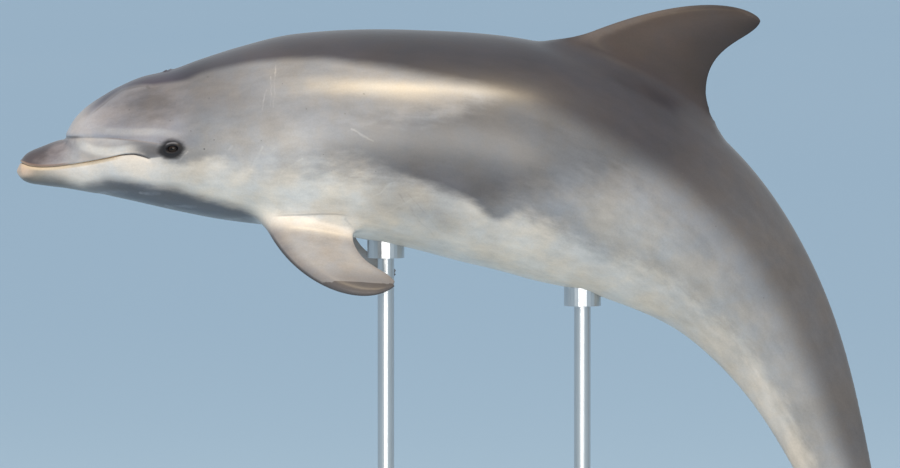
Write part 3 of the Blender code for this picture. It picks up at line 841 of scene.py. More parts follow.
# ---------------------------------------------------------------- the skin's markings
# curves along the body, as (along, height): edges of the colours and fine lines
CAPE_EDGE = ((0.1, 0.072), (0.12, 0.06), (0.14, 0.0565), (0.16, 0.0585), (0.18, 0.063),
             (0.2, 0.065), (0.22, 0.0662), (0.25, 0.0655), (0.28, 0.0632), (0.3, 0.0597),
             (0.33, 0.0548), (0.36, 0.05), (0.4, 0.0465), (0.44, 0.043), (0.48, 0.0405),
             (0.52, 0.0375), (0.56, 0.036), (0.6, 0.032), (0.7, 0.026), (0.85, 0.014),
             (1.0, 0.002))
CAPE_SOFTNESS = ((0.12, 0.0025), (0.2, 0.003), (0.28, 0.005), (0.34, 0.0062), (0.45, 0.0095),
                 (0.6, 0.016), (1.0, 0.01))
BELLY_EDGE = ((0.0, 0.004), (0.03, -0.002), (0.1, -0.002), (0.118, -0.007), (0.14, -0.0125),
              (0.15, -0.015), (0.16, -0.0125), (0.17, -0.0115), (0.18, -0.0135), (0.2, -0.024),
              (0.22, -0.031), (0.24, -0.035), (0.27, -0.033), (0.3, -0.0345), (0.33, -0.0385),
              (0.36, -0.0425), (0.38, -0.047), (0.4, -0.0515), (0.42, -0.055), (0.435, -0.061),
              (0.45, -0.066), (0.462, -0.06), (0.48, -0.053), (0.51, -0.0535), (0.54, -0.056),
              (0.57, -0.052), (0.6, -0.044), (0.7, -0.026), (0.8, -0.017), (1.0, -0.006))
BELLY_SOFTNESS = ((0.0, 0.004), (0.12, 0.006), (0.155, 0.005), (0.18, 0.006), (0.21, 0.01),
                  (0.24, 0.018), (0.27, 0.02), (0.3, 0.022), (0.33, 0.012), (0.36, 0.007),
                  (0.4, 0.0065), (0.45, 0.005), (0.48, 0.012), (0.55, 0.012), (0.65, 0.012),
                  (1.0, 0.006))
SHADE_TOP = ((0.24, -0.004), (0.28, 0.002), (0.33, 0.006), (0.37, 0.01), (0.395, 0.018),
             (0.412, 0.03), (0.43, 0.045), (0.45, 0.065), (0.6, 0.08))
# edge of the painted shade under the jaw and throat, where the underside turns away from the
# light
THROAT_SHADE_EDGE = ((0.0, -0.004), (0.01, -0.0072), (0.02, -0.0104), (0.03, -0.0116), (0.04, -0.014),
               (0.05, -0.018), (0.06, -0.0202), (0.07, -0.02), (0.08, -0.0184), (0.09, -0.0202),
               (0.1, -0.023), (0.11, -0.0264), (0.12, -0.0298), (0.13, -0.032), (0.14, -0.0352),
               (0.15, -0.0402), (0.16, -0.0448), (0.17, -0.0492), (0.18, -0.0535),
               (0.19, -0.0583), (0.2, -0.0628), (0.207, -0.069), (0.215, -0.078), (0.23, -0.095))
MELON_LINE = ((0.07, 0.038), (0.0855, 0.047), (0.095, 0.0527), (0.108, 0.058), (0.12, 0.0588),
              (0.135, 0.0572), (0.15, 0.0575))
# pale streak on the side of the upper jaw, partly pale skin and partly a painted highlight
PALE_AND_HIGHLIGHT_STREAK = ((0.045, 0.02), (0.054, 0.0178), (0.064, 0.013), (0.074, 0.008), (0.084, 0.0055),
               (0.094, 0.0045), (0.104, 0.005), (0.118, 0.004))
PALE_BROW = ((0.05, 0.0285), (0.075, 0.0262), (0.09, 0.023), (0.11, 0.0195), (0.125, 0.0178),
             (0.135, 0.016), (0.15, 0.0115), (0.165, 0.007))
BLAZE = ((0.2, 0.046), (0.25, 0.043), (0.28, 0.04), (0.32, 0.037), (0.36, 0.034), (0.5, 0.028))
JAW_FOLD = ((0.08, -0.022), (0.11, -0.028), (0.15, -0.036), (0.19, -0.045))
FLIPPER_FOLD = ((0.21, -0.07), (0.24, -0.0725), (0.29, -0.0762), (0.32, -0.083))
# sculpted folds: curve, lines, where each starts, is full, ends, and how far out it begins
FOLDS = ((BRIDLE, ((-0.002, 0.0, 0.004), (0.0012, 0.01, 0.008)),
          (0.04, 0.05, 0.07, 0.11), -1.0),
         (JAW_FOLD, ((-0.0012, 0.0, 0.005),), (0.08, 0.11, 0.15, 0.19), -1.0),
         (FLIPPER_FOLD, ((-0.003, 0.0, 0.005),), (0.222, 0.238, 0.285, 0.305), 0.03))
# the dark patch round the eye: half its length and height in metres, and how far off the middle
EYE_PATCH = (0.029, 0.0218)
EYE_PATCH_OFF = (0.002, 0.001)
# metres off the body between which the fins' own colours set in
FIN_COLOUR_GAP = (0.004, 0.05)
# the curves whose distance the material reads
LINES = {"mouth": MOUTH, "bridle": BRIDLE, "melon_line": MELON_LINE, "streak": PALE_AND_HIGHLIGHT_STREAK,
         "brow": PALE_BROW, "blaze": BLAZE, "fold": FLIPPER_FOLD, "throat": THROAT_SHADE_EDGE,
         "belly_gap": BELLY_EDGE, "shade_top": SHADE_TOP}


def store_fins(skin, fins, points, body_gap):
    """How far each corner is out on a fin (0 on the body, 1 on the fin) and where on it."""
    away = ramp(body_gap, *FIN_COLOUR_GAP)
    for kind in ("dorsal", "flipper", "fluke"):
        part = np.zeros(len(points))
        span = np.zeros(len(points))
        chord = np.zeros(len(points))
        for fin in fins:
            if fin.kind != kind:
                continue
            near = np.all((points > fin.low) & (points < fin.high), axis=1)
            part[near] = away[near]
            flat_chord, flat_span = fin_plane(fin, points[near])
            tip = fin.fin["lead"][3][1]
            span[near] = np.clip(flat_span / tip, 0.0, 1.0)
            shares = np.linspace(0.0, 1.0, 60)
            front = bezier(fin.fin["lead"], shares)
            back = bezier(fin.fin["trail"], shares)
            first = np.interp(flat_span, front[:, 1], front[:, 0])
            last = np.interp(flat_span, np.maximum.accumulate(back[:, 1]), back[:, 0])
            chord[near] = np.clip((flat_chord - first) / np.maximum(last - first, 0.01), 0.0, 1.0)
        store(skin, kind, part)
        store(skin, kind + "_span", span)
        store(skin, kind + "_chord", chord)


def fin_plane(fin, points):
    """Chordwise and spanwise places of points in a fin's own plane."""
    if fin.kind == "fluke":
        along, side, _ = to_body(points)
        return along, np.abs(side)
    start, chord, span, _ = fin_frame(fin.kind, fin.side)
    return (points - start) @ chord / LENGTH, (points - start) @ span / LENGTH


def mark_skin(skin, fins, smooth_points, along, side, height, relief):
    """Store where each corner lies, for the markings in the material."""
    store(skin, "place", np.stack([along, side, height], -1) * LENGTH)
    for name, table in LINES.items():
        store(skin, name, curve_gap(table, along, height))
    for name, edge, softness, way in (("cape", CAPE_EDGE, CAPE_SOFTNESS, 1),
                                      ("belly", BELLY_EDGE, BELLY_SOFTNESS, -1)):
        gap = way * curve_gap(edge, along, height)
        store(skin, name, gap / (LENGTH * smooth(softness, along)))
    back, up = eye_place(along, height)
    far = np.abs(side) < 0.02
    ring = np.hypot((back + EYE_PATCH_OFF[0]) / EYE_PATCH[0],
                    (up + EYE_PATCH_OFF[1]) / EYE_PATCH[1])
    store(skin, "eye_ring", np.where(far, 9.0, ring))
    store(skin, "eye_edge", np.where(far, 1.0, opening(back, up)))
    arc, turn = blowhole_place(along, side)
    past = 0.02 * ramp(turn, BLOWHOLE_TURN - 0.2, BLOWHOLE_TURN)
    store(skin, "blowhole", np.abs(arc) + past + 1.0 * (height < TOP_HEIGHT))
    store(skin, "relief", relief)
    body_gap, _ = form_distance(BODY, BODY_TABLES, smooth_points)
    store_fins(skin, fins, smooth_points, body_gap)


skin, fins = make_skin()
smooth_points = get_points(skin)
places = sculpt(skin, fins)
lids = opening(*eye_place(places[0], places[2]))
relax(skin, (np.abs(lids + 0.0008) < 0.0024) & (np.abs(places[1]) > EYE_SIDE), 2)
mark_skin(skin, fins, smooth_points, *places)
activate(skin)
bpy.ops.object.shade_smooth()
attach(skin, "root")
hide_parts("upper_jaw", "lower_jaw", "head", "blowhole", "neck", "chest", "trunk", "loin",
            "tail_stock", "peduncle", "dorsal_fin", "flipper_left", "flipper_right",
            "fluke_left", "fluke_right")


# ---------------------------------------------------------------- nodes
class Graph:
    """Short calls for the nodes of one material or group."""

    def __init__(self, tree):
        self.tree = tree

    def node(self, kind, inputs=None, **settings):
        made = self.tree.nodes.new(kind)
        for name, value in settings.items():
            setattr(made, name, value)
        for key, value in (inputs or {}).items():
            self.feed(made.inputs[key], value)
        return made

    def feed(self, socket, value):
        if isinstance(value, bpy.types.NodeSocket):
            self.tree.links.new(value, socket)
        elif socket.type == "RGBA":
            socket.default_value = (*value, 1.0)
        else:
            socket.default_value = value

    def attribute(self, name, output="Fac"):
        return self.node("ShaderNodeAttribute", attribute_name=name).outputs[output]

    def maths(self, operation, *values):
        made = self.node("ShaderNodeMath", dict(enumerate(values)), operation=operation)
        return made.outputs[0]

    def times(self, *values):
        result = values[0]
        for value in values[1:]:
            result = self.maths("MULTIPLY", result, value)
        return result

    def vector(self, operation, *values, output="Vector"):
        made = self.node("ShaderNodeVectorMath", dict(enumerate(values)), operation=operation)
        return made.outputs[output]

    def ramp(self, value, low, high, start=0.0, end=1.0):
        made = self.node("ShaderNodeMapRange", {"Value": value, "From Min": low,
                         "From Max": high, "To Min": start, "To Max": end},
                         interpolation_type="SMOOTHSTEP")
        return made.outputs["Result"]

    def between(self, value, start, full, still, end):
        """0 before start, 1 from full to still, 0 past end."""
        return self.times(self.ramp(value, start, full), self.ramp(value, still, end, 1.0, 0.0))

    def mix(self, share, under, over):
        made = self.node("ShaderNodeMix", {0: share, 6: under, 7: over}, data_type="RGBA")
        return made.outputs[2]

    def noise(self, vector, scale, detail=3.0, rough=0.55):
        made = self.node("ShaderNodeTexNoise", {"Vector": vector, "Scale": scale,
                         "Detail": detail, "Roughness": rough})
        return made.outputs["Fac"]

    def stretch(self, vector, scale):
        return self.vector("MULTIPLY", vector, scale)

    def bump(self, shader, strength, distance, height):
        made = self.node("ShaderNodeBump", {"Strength": strength, "Distance": distance,
                         "Height": height})
        self.feed(shader["Normal"], made.outputs["Normal"])

    def group(self, name, inputs):
        made = self.node("ShaderNodeGroup", node_tree=bpy.data.node_groups[name])
        for key, value in inputs.items():
            self.feed(made.inputs[key], value)
        return made.outputs


def new_group(name, vectors, floats, outputs):
    """An empty node group with its sockets: (graph, input sockets, output node's sockets)."""
    tree = bpy.data.node_groups.new(name, "ShaderNodeTree")
    for labels, way, kind in ((vectors, "INPUT", "Vector"), (floats, "INPUT", "Float"),
                              (outputs, "OUTPUT", "Float")):
        for label in labels:
            tree.interface.new_socket(label, in_out=way, socket_type="NodeSocket" + kind)
    graph = Graph(tree)
    start = graph.node("NodeGroupInput")
    end = graph.node("NodeGroupOutput")
    return graph, start.outputs, end.inputs


def make_edge_group():
    """Mask of one side of an edge, soft and ragged as told."""
    graph, given, result = new_group("marking_edge", (), ("Gap", "Softness", "Wobble", "Ragged"),
                                     ("Mask",))
    moved = graph.maths("MULTIPLY_ADD", given["Wobble"], given["Ragged"], given["Gap"])
    low = graph.maths("MULTIPLY", given["Softness"], -1.0)
    graph.feed(result["Mask"], graph.ramp(moved, low, given["Softness"]))


def make_stroke_group():
    """Mask of a line drawn along the body between two places."""
    graph, given, result = new_group("marking_stroke", (), ("Gap", "Along", "Half Width", "Start",
                                                            "End", "Fade"), ("Mask",))
    away = graph.maths("ABSOLUTE", given["Gap"])
    inner = graph.maths("MULTIPLY", given["Half Width"], 0.4)
    outer = graph.maths("MULTIPLY", given["Half Width"], 1.6)
    core = graph.ramp(away, inner, outer, 1.0, 0.0)
    begun = graph.ramp(given["Along"], graph.maths("SUBTRACT", given["Start"], given["Fade"]),
                       given["Start"])
    ended = graph.ramp(given["Along"], given["End"],
                       graph.maths("ADD", given["End"], given["Fade"]), 1.0, 0.0)
    graph.feed(result["Mask"], graph.times(core, begun, ended))


def make_scar_group():
    """Mask of a short scar between two places on the flank."""
    graph, given, result = new_group("scar", ("Place", "Start", "End"), ("Half Width",),
                                     ("Mask",))
    run = graph.vector("SUBTRACT", given["End"], given["Start"])
    to_point = graph.vector("SUBTRACT", given["Place"], given["Start"])
    dot = graph.vector("DOT_PRODUCT", to_point, run, output="Value")
    length = graph.vector("DOT_PRODUCT", run, run, output="Value")
    share = graph.node("ShaderNodeMath", {0: dot, 1: length}, operation="DIVIDE", use_clamp=True)
    nearest = graph.node("ShaderNodeVectorMath", {0: run, "Scale": share.outputs[0]},
                         operation="SCALE")
    away = graph.vector("DISTANCE", to_point, nearest.outputs["Vector"], output="Value")
    thin = graph.maths("MULTIPLY", given["Half Width"], 1.8)
    thinner = graph.maths("MULTIPLY", given["Half Width"], 0.3)
    taper = graph.maths("MULTIPLY_ADD", share.outputs[0], -0.6, 1.0)
    graph.feed(result["Mask"], graph.times(graph.ramp(away, thinner, thin, 1.0, 0.0), taper))


def make_grain_group():
    """Skin's mottling: big clouds, streaks along the body, fine speckle, and freckles."""
    graph, given, result = new_group("skin_grain", ("Place", "Object"), (),
                                     ("Clouds", "Streaks", "Speckle", "Cast", "Freckles"))
    graph.feed(result["Clouds"], graph.noise(given["Place"], 9.0, 2.0))
    long = graph.stretch(given["Place"], (0.35, 1.0, 1.0))
    graph.feed(result["Streaks"], graph.noise(long, 55.0, 4.0, 0.6))
    graph.feed(result["Speckle"], graph.noise(given["Object"], 260.0, 3.0, 0.6))
    graph.feed(result["Cast"], graph.ramp(graph.noise(given["Object"], 14.0, 4.0, 0.6), 0.3, 0.7))
    cells = graph.node("ShaderNodeTexVoronoi", {"Vector": given["Object"], "Scale": 30.0})
    chance = graph.node("ShaderNodeSeparateColor", {"Color": cells.outputs["Color"]})
    size = graph.ramp(chance.outputs[0], 0.8, 1.0, 0.0, 0.075)
    edge = graph.maths("MULTIPLY", size, 0.6)
    dot = graph.ramp(cells.outputs["Distance"], edge, size, 1.0, 0.0)
    present = graph.maths("GREATER_THAN", chance.outputs[0], 0.82)
    graph.feed(result["Freckles"], graph.times(dot, present))


def new_material(name, kind=Graph):
    """A material, the graph of its nodes, and the inputs of its shader."""
    made = bpy.data.materials.new(name)
    made.use_nodes = True
    return made, kind(made.node_tree), made.node_tree.nodes["Principled BSDF"].inputs


# ---------------------------------------------------------------- colours, linear
CAPE = (0.029, 0.025, 0.031)
CAPE_FRONT = (0.05, 0.043, 0.052)
CAPE_NAPE = (0.018, 0.014, 0.024)
CAPE_TAIL = (0.095, 0.086, 0.086)
FLANK = (0.212, 0.21, 0.219)
FLANK_HIGH = (0.14, 0.134, 0.141)
FLANK_PALE = (0.38, 0.365, 0.36)
FLANK_REAR = (0.3, 0.29, 0.284)
SHADE_HIGH = (0.098, 0.096, 0.102)
SHADE_LOW = (0.086, 0.078, 0.082)
BLAZE_PALE = (0.3, 0.28, 0.262)
BELLY_PALE = (0.5, 0.46, 0.42)
BELLY_GREY = (0.375, 0.345, 0.318)
BELLY_LOW = (0.665, 0.595, 0.515)
CHEST_WHITE = (0.68, 0.625, 0.565)
CHIN = (0.65, 0.59, 0.54)
CHIN_FRONT = (0.3, 0.255, 0.208)
# painted shade under the jaw and throat, blue-grey like a reflection of dark water; the skin
# there is pale
THROAT_PAINTED_SHADE = (0.052, 0.055, 0.07)
THROAT_FRONT_PAINTED_SHADE = (0.02, 0.021, 0.027)
# painted reflection of rippling water on the throat
PAINTED_WATER_GLINT = (0.34, 0.35, 0.39)
MELON = (0.205, 0.196, 0.215)
MELON_DARK = (0.098, 0.091, 0.1)
MELON_PALE = (0.4, 0.378, 0.39)
MELON_TOP = (0.038, 0.029, 0.05)
BROW_PALE = (0.29, 0.28, 0.286)
CHEEK = (0.33, 0.31, 0.308)
EYE_GREY = (0.138, 0.13, 0.136)
# pale skin of the upper jaw, lightened further as a painted highlight
WEDGE_PALE_AND_HIGHLIGHT = (0.51, 0.488, 0.47)
BEAK_BROWN = (0.185, 0.16, 0.165)
BEAK_DARK = (0.064, 0.05, 0.055)
GUM_BROWN = (0.2, 0.12, 0.085)
LIP_CREAM = (0.52, 0.41, 0.29)
TIP_CREAM = (0.52, 0.39, 0.3)
LINE_DARK = (0.075, 0.062, 0.06)
EYE_DARK = (0.007, 0.006, 0.008)
# painted highlight on the upper lid's wet rim
LID_PAINTED_HIGHLIGHT = (0.3, 0.3, 0.33)
MOUTH_DARK = (0.13, 0.07, 0.045)
MOUTH_GOLD = (0.3, 0.195, 0.11)
SCAR_PALE = (0.56, 0.535, 0.515)
FRECKLE = (0.08, 0.072, 0.075)
DORSAL_DARK = (0.03, 0.024, 0.024)
DORSAL_MIDDLE = (0.044, 0.034, 0.033)
DORSAL_FRONT_EDGE = (0.095, 0.08, 0.078)
FLIPPER_PALE = (0.54, 0.52, 0.518)
FLIPPER_GREY = (0.3, 0.287, 0.286)
FLIPPER_EDGE = (0.19, 0.168, 0.164)
FLIPPER_RIM = (0.075, 0.065, 0.064)
FLIPPER_TIP = (0.17, 0.158, 0.158)
FLUKE_TOP = (0.075, 0.067, 0.067)
FLUKE_UNDER = (0.26, 0.25, 0.246)
FLUKE_UP = (0.88, 0.0, 0.47)       # the way that the flukes' upper side faces
# the fins' colours, each over the last: its share at two places along the chord or the span
DORSAL_COLOURS = (("chord", 0.01, 0.14, 0.0, 1.0, DORSAL_MIDDLE),
                  ("chord", 0.45, 1.0, 0.0, 1.0, DORSAL_DARK),
                  ("span", 0.65, 1.0, 0.0, 0.8, DORSAL_DARK))
FLIPPER_COLOURS = (("span", 0.03, 0.22, 0.0, 1.0, FLIPPER_GREY),
                   ("chord", 0.0, 0.22, 0.8, 0.0, FLIPPER_EDGE),
                   ("chord", 0.86, 1.0, 0.0, 0.5, FLIPPER_EDGE),
                   ("span", 0.72, 1.0, 0.0, 0.9, FLIPPER_TIP))
# mottling of the tone: which grain, by how much, and what is added
TONES = (("Clouds", 0.5, 0.75), ("Streaks", 0.44, -0.22), ("Speckle", 0.24, -0.12))
ROUGH = (0.24, 0.36)               # by how much the streaks vary it, and its least
ROUGH_DULL = 0.24                  # how much is added on the dorsal fin and round the eye
COAT = 0.6
COAT_DULL = -0.56
COAT_ROUGH = 0.27
SKIN_IOR = 1.38
CAST_COOL = (0.95, 0.99, 1.06)
CAST_WARM = (1.05, 1.0, 0.95)

# scars on the animal's left: start and end as (along, height), half width in metres
SCARS = (((0.241, 0.061), (0.237, 0.0255), 0.0011), ((0.237, 0.052), (0.2345, 0.028), 0.0009),
         ((0.2224, -0.0072), (0.2098, -0.0272), 0.0019),
         ((0.2098, -0.0272), (0.1942, -0.0391), 0.0017),
         ((0.195, -0.0045), (0.1868, -0.0135), 0.0024),
         ((0.2561, -0.0224), (0.2369, -0.0322), 0.0017),
         ((0.2369, -0.0322), (0.2301, -0.0453), 0.0017),
         ((0.3025, 0.0008), (0.3217, -0.01), 0.0017), ((0.2314, 0.041), (0.226, 0.0241), 0.0012),
         ((0.3217, -0.0604), (0.3467, -0.0421), 0.0015),
         ((0.3338, -0.0741), (0.3732, -0.0538), 0.0016),
         ((0.3011, -0.0406), (0.3176, -0.033), 0.0013),
         ((0.156, -0.005), (0.148, -0.0105), 0.0016))
# the same for painted pale reflections of rippling water on the throat, and for the painted shade
# of the creases behind the flipper
PAINTED_RIPPLE_GLINTS = (((0.072, -0.0315), (0.094, -0.0335), 0.0036),
           ((0.108, -0.035), (0.124, -0.0385), 0.003),
           ((0.128, -0.051), (0.155, -0.0545), 0.0026),
           ((0.178, -0.0695), (0.206, -0.0712), 0.003))
# painted shade of the skin's creases behind the flipper
PAINTED_CREASE_SHADES = (((0.347, -0.056), (0.3709, -0.0802), 0.0016),
           ((0.3709, -0.0802), (0.4051, -0.103), 0.0016),
           ((0.357, -0.056), (0.39, -0.084), 0.0012), ((0.293, -0.08), (0.303, -0.09), 0.0022))
# the ear's opening, in metres
EAR = (0.1705 * LENGTH, 0.0, -0.0035 * LENGTH)
# dark spots on the animal's left: (along, height) and radius in metres
SPOTS = ((0.1288, 0.0568, 0.004), (0.1087, 0.0395, 0.0019), (0.1436, 0.0255, 0.0018),
         (0.1615, 0.0142, 0.0017), (0.1803, 0.0036, 0.0022), (0.2224, -0.002, 0.0016),
         (0.1821, 0.0582, 0.0022), (0.2639, 0.0211, 0.002), (0.2757, -0.021, 0.0017),
         (0.3234, -0.037, 0.0018), (0.2454, 0.0438, 0.0017), (0.3142, 0.0319, 0.002),
         (0.2973, 0.0155, 0.002))
# dark lines under the belly: middle along, half length, half width and place off the middle
BELLY_SLITS = ((0.505, 0.006, 0.0035, 0.0), (0.64, 0.055, 0.0028, 0.0),
               (0.64, 0.016, 0.0016, 0.015), (0.69, 0.007, 0.003, 0.0))


MARK_WANDER = 0.014                # how far scars and spots stray from their places, in metres
MARK_SHIFT = MARK_WANDER / 2       # the middle of that straying

# lines drawn along the skin's curves: curve, half width in metres, where it starts and ends, how
# far it fades there, metres above the curve, strength and colour
STROKES = {
    "blaze": ("blaze", 0.017, 0.285, 0.35, 0.04, 0.0, 0.8, BLAZE_PALE),
    "melon edge": ("melon_line", 0.0014, 0.082, 0.12, 0.01, -0.001, 0.35, LINE_DARK),
    "brow": ("brow", 0.0068, 0.09, 0.135, 0.025, 0.0, 0.75, BROW_PALE),
    # wedge: partly pale skin, partly a painted highlight
    "wedge": ("streak", 0.0085, 0.076, 0.092, 0.03, 0.0, 0.9, WEDGE_PALE_AND_HIGHLIGHT),
    "gum": ("mouth", 0.0026, 0.014, 0.04, 0.014, 0.0024, 0.75, GUM_BROWN),
    "lip": ("mouth", 0.0037, 0.014, 0.086, 0.014, -0.0026, 0.9, LIP_CREAM),
    # painted shade in the crease at the melon's foot
    "melon foot shade": ("bridle", 0.0024, 0.044, 0.056, 0.01, 0.001, 0.6, LINE_DARK),
    "bridle": ("bridle", 0.0016, 0.092, 0.126, 0.014, 0.0, 0.3, GUM_BROWN),
    "smudge": ("bridle", 0.01, 0.121, 0.13, 0.018, -0.015, 0.55, LINE_DARK),
    # painted shade along the sculpted fold over the flipper
    "fold": ("fold", 0.0016, 0.235, 0.285, 0.015, 0.0, 0.3, LINE_DARK),
}

# areas of colour, each where all its rows hold: a row fades in between its first two numbers and
# out between the next two. "along" and "height" are shares of the length, curves are in metres.
NO = (None, None)
AREAS = {
    "high flank": (("height", 0.012, 0.04), ("along", *NO, 0.165, 0.255)),
    "pale flank": (("height", 0.02, -0.015), ("along", 0.15, 0.225, 0.245, 0.29)),
    "rear flank": (("height", 0.02, -0.025), ("along", 0.5, 0.56)),
    "shade": (("along", 0.25, 0.368),),
    "high shade": (("height", -0.042, -0.002),),
    "low belly": (("belly_gap", -0.015, -0.11),),
    "middle belly": (("along", 0.3, 0.335, 0.385, 0.44),),
    "chest": (("along", 0.215, 0.245, 0.272, 0.302), ("height", -0.032, -0.055)),
    "cape behind the nape": (("along", 0.15, 0.2),),
    "cape over the trunk": (("along", 0.2, 0.37),),
    "cape of the tail": (("along", 0.53, 0.68),),
    "forehead": (("along", *NO, 0.135, 0.175), ("bridle", -0.002, 0.004)),
    "melon behind its front": (("along", 0.056, 0.095),),
    "melon's top": (("melon_line", -0.003, 0.007), ("along", 0.06, 0.092)),
    "upper jaw": (("mouth", 0.0004, 0.002), ("bridle", *NO, -0.003, 0.001),
                  ("along", *NO, 0.124, 0.136)),
    "before the eye": (("along", 0.092, 0.118),),
    "lower jaw": (("mouth", 0.001, -0.001), ("along", *NO, 0.1, 0.15)),
    "chin behind its front": (("along", 0.016, 0.06),),
    "painted throat shade behind the chin": (("along", 0.045, 0.075),),
    "tip": (("along", *NO, 0.006, 0.02), ("mouth", 0.0052, 0.0015),
            ("height", -0.0095, -0.004)),
    "freckled": (("height", -0.03, 0.02),),
    "golden mouth": (("along", 0.03, 0.05),),
    "dark mouth": (("along", 0.088, 0.102),),
}

# the round dark temple: its middle, and half its length and height
TEMPLE = (0.13, 0.043)
TEMPLE_SIZE = (0.04, 0.024)
# the painted highlight on the upper lid, a pale arc for the glint of its wet rim, in metres: off
# the opening, above and behind the eye's middle
LID_HIGHLIGHT_ARC = (0.0024, 0.0042, 0.005, 0.007)
LID_HIGHLIGHT_HEIGHT = (0.005, 0.011)
LID_HIGHLIGHT_ALONG = (-0.014, -0.006, 0.008, 0.016)


def at(share):
    """Metres along or above the axis for a share of the length."""
    return share * LENGTH


class SkinGraph(Graph):
    """The skin's nodes, with what the markings need to know about each spot."""

    def __init__(self, tree):
        super().__init__(tree)
        self.place = self.attribute("place", "Vector")
        split = self.node("ShaderNodeSeparateXYZ", {0: self.place}).outputs
        self.along, self.side, self.height = split
        self.objects = self.node("ShaderNodeTexCoord").outputs["Object"]
        self.grain = self.group("skin_grain", {"Place": self.place, "Object": self.objects})
        self.wobble = self.maths("SUBTRACT", self.grain["Streaks"], 0.5)

    def area(self, name):
        """Mask of one of AREAS."""
        rows = []
        for source, start, full, *fade in AREAS[name]:
            if source in ("along", "height"):
                value = getattr(self, source)
                start, full, *fade = (n if n is None else at(n) for n in (start, full, *fade))
            else:
                value = self.attribute(source)
            rise = [] if start is None else [self.ramp(value, start, full)]
            fall = [self.ramp(value, *fade, 1.0, 0.0)] if fade else []
            rows.append(self.times(*rise, *fall))
        return self.times(*rows)

    def edge(self, gap, softness, ragged):
        return self.group("marking_edge", {"Gap": gap, "Softness": softness, "Ragged": ragged,
                          "Wobble": self.wobble})["Mask"]

    def slanted(self, start, slant, ragged):
        """A place along the body that leans with the height and is ragged."""
        return self.maths("MULTIPLY_ADD", self.wobble, ragged,
                          self.maths("MULTIPLY_ADD", self.height, slant, start))

    def draw(self, colour, *names):
        """Some of STROKES over a colour."""
        for name in names:
            curve, half_width, start, end, fade, shift, share, paint = STROKES[name]
            gap = self.attribute(curve)
            if shift:
                gap = self.maths("SUBTRACT", gap, shift)
            mask = self.group("marking_stroke", {"Gap": gap, "Along": self.along,
                              "Half Width": half_width, "Start": at(start), "End": at(end),
                              "Fade": at(fade)})["Mask"]
            colour = self.mix(self.times(mask, share), colour, paint)
        return colour


def paint_body(graph):
    """Countershading of the trunk: dark cape, grey flank with its darker shade, pale belly."""
    colour = graph.mix(graph.area("high flank"), FLANK, FLANK_HIGH)
    colour = graph.mix(graph.times(graph.area("pale flank"), 0.75), colour, FLANK_PALE)
    colour = graph.mix(graph.area("rear flank"), colour, FLANK_REAR)
    colour = graph.draw(colour, "blaze")
    behind = graph.maths("MULTIPLY_ADD", graph.height, -1.4,
                         graph.maths("MULTIPLY_ADD", graph.wobble, 0.05, graph.along))
    top = graph.maths("MULTIPLY_ADD", graph.wobble, 0.05, graph.attribute("shade_top"))
    shade = graph.times(graph.area("shade"), graph.ramp(top, 0.034, -0.018),
                        graph.ramp(behind, at(0.485), at(0.56), 1.0, 0.0))
    colour = graph.mix(shade, colour, graph.mix(graph.area("high shade"), SHADE_LOW, SHADE_HIGH))
    under = graph.area("low belly")
    low = graph.mix(under, BELLY_PALE, BELLY_LOW)
    grey = graph.times(graph.area("middle belly"), graph.ramp(under, 0.4, 1.0, 1.0, 0.3))
    low = graph.mix(grey, low, BELLY_GREY)
    low = graph.mix(graph.times(graph.area("chest"), 0.85), low, CHEST_WHITE)
    colour = graph.mix(graph.edge(graph.attribute("belly"), 1.0, 1.1), colour, low)
    cape = graph.mix(graph.area("cape over the trunk"), CAPE_FRONT, CAPE)
    cape = graph.mix(graph.area("cape behind the nape"), CAPE_NAPE, cape)
    cape = graph.mix(graph.area("cape of the tail"), cape, CAPE_TAIL)
    return graph.mix(graph.edge(graph.attribute("cape"), 1.0, 0.9), colour, cape)


def paint_melon(graph, colour):
    """The forehead: grey, pale in front and over the bridle, dark at the temple and on top."""
    melon = graph.mix(graph.area("melon behind its front"), MELON_PALE, MELON)
    spread = graph.node("ShaderNodeCombineXYZ", {
        n: graph.maths("MULTIPLY_ADD", value, 1 / at(size), -middle / size)
        for n, (value, middle, size) in enumerate(zip((graph.along, graph.height),
                                                      TEMPLE, TEMPLE_SIZE))})
    off = graph.maths("MULTIPLY_ADD", graph.wobble, 0.6,
                      graph.vector("LENGTH", spread.outputs[0], output="Value"))
    melon = graph.mix(graph.ramp(off, 0.1, 1.15, 1.0, 0.0), melon, MELON_DARK)
    melon = graph.mix(graph.times(graph.area("melon's top"), 0.95), melon, MELON_TOP)
    melon = graph.draw(melon, "melon edge")
    return graph.draw(graph.mix(graph.area("forehead"), colour, melon), "brow")


def paint_upper_jaw(graph, colour):
    """The upper jaw: dark brown in front, a pale wedge behind, partly its own pale skin and
    partly a painted highlight, a grey stripe to the eye.
    """
    jaw = graph.mix(graph.area("before the eye"), CHEEK, EYE_GREY)
    jaw = graph.draw(jaw, "wedge")
    slant = graph.slanted(graph.along, -0.75, 0.03)
    jaw = graph.mix(graph.ramp(slant, at(0.03), at(0.052), 1.0, 0.0), jaw, BEAK_BROWN)
    slant = graph.maths("MULTIPLY_ADD", graph.wobble, 0.045, slant)
    jaw = graph.mix(graph.ramp(slant, at(0.01), at(0.038), 1.0, 0.0), jaw, BEAK_DARK)
    return graph.mix(graph.area("upper jaw"), colour, jaw)


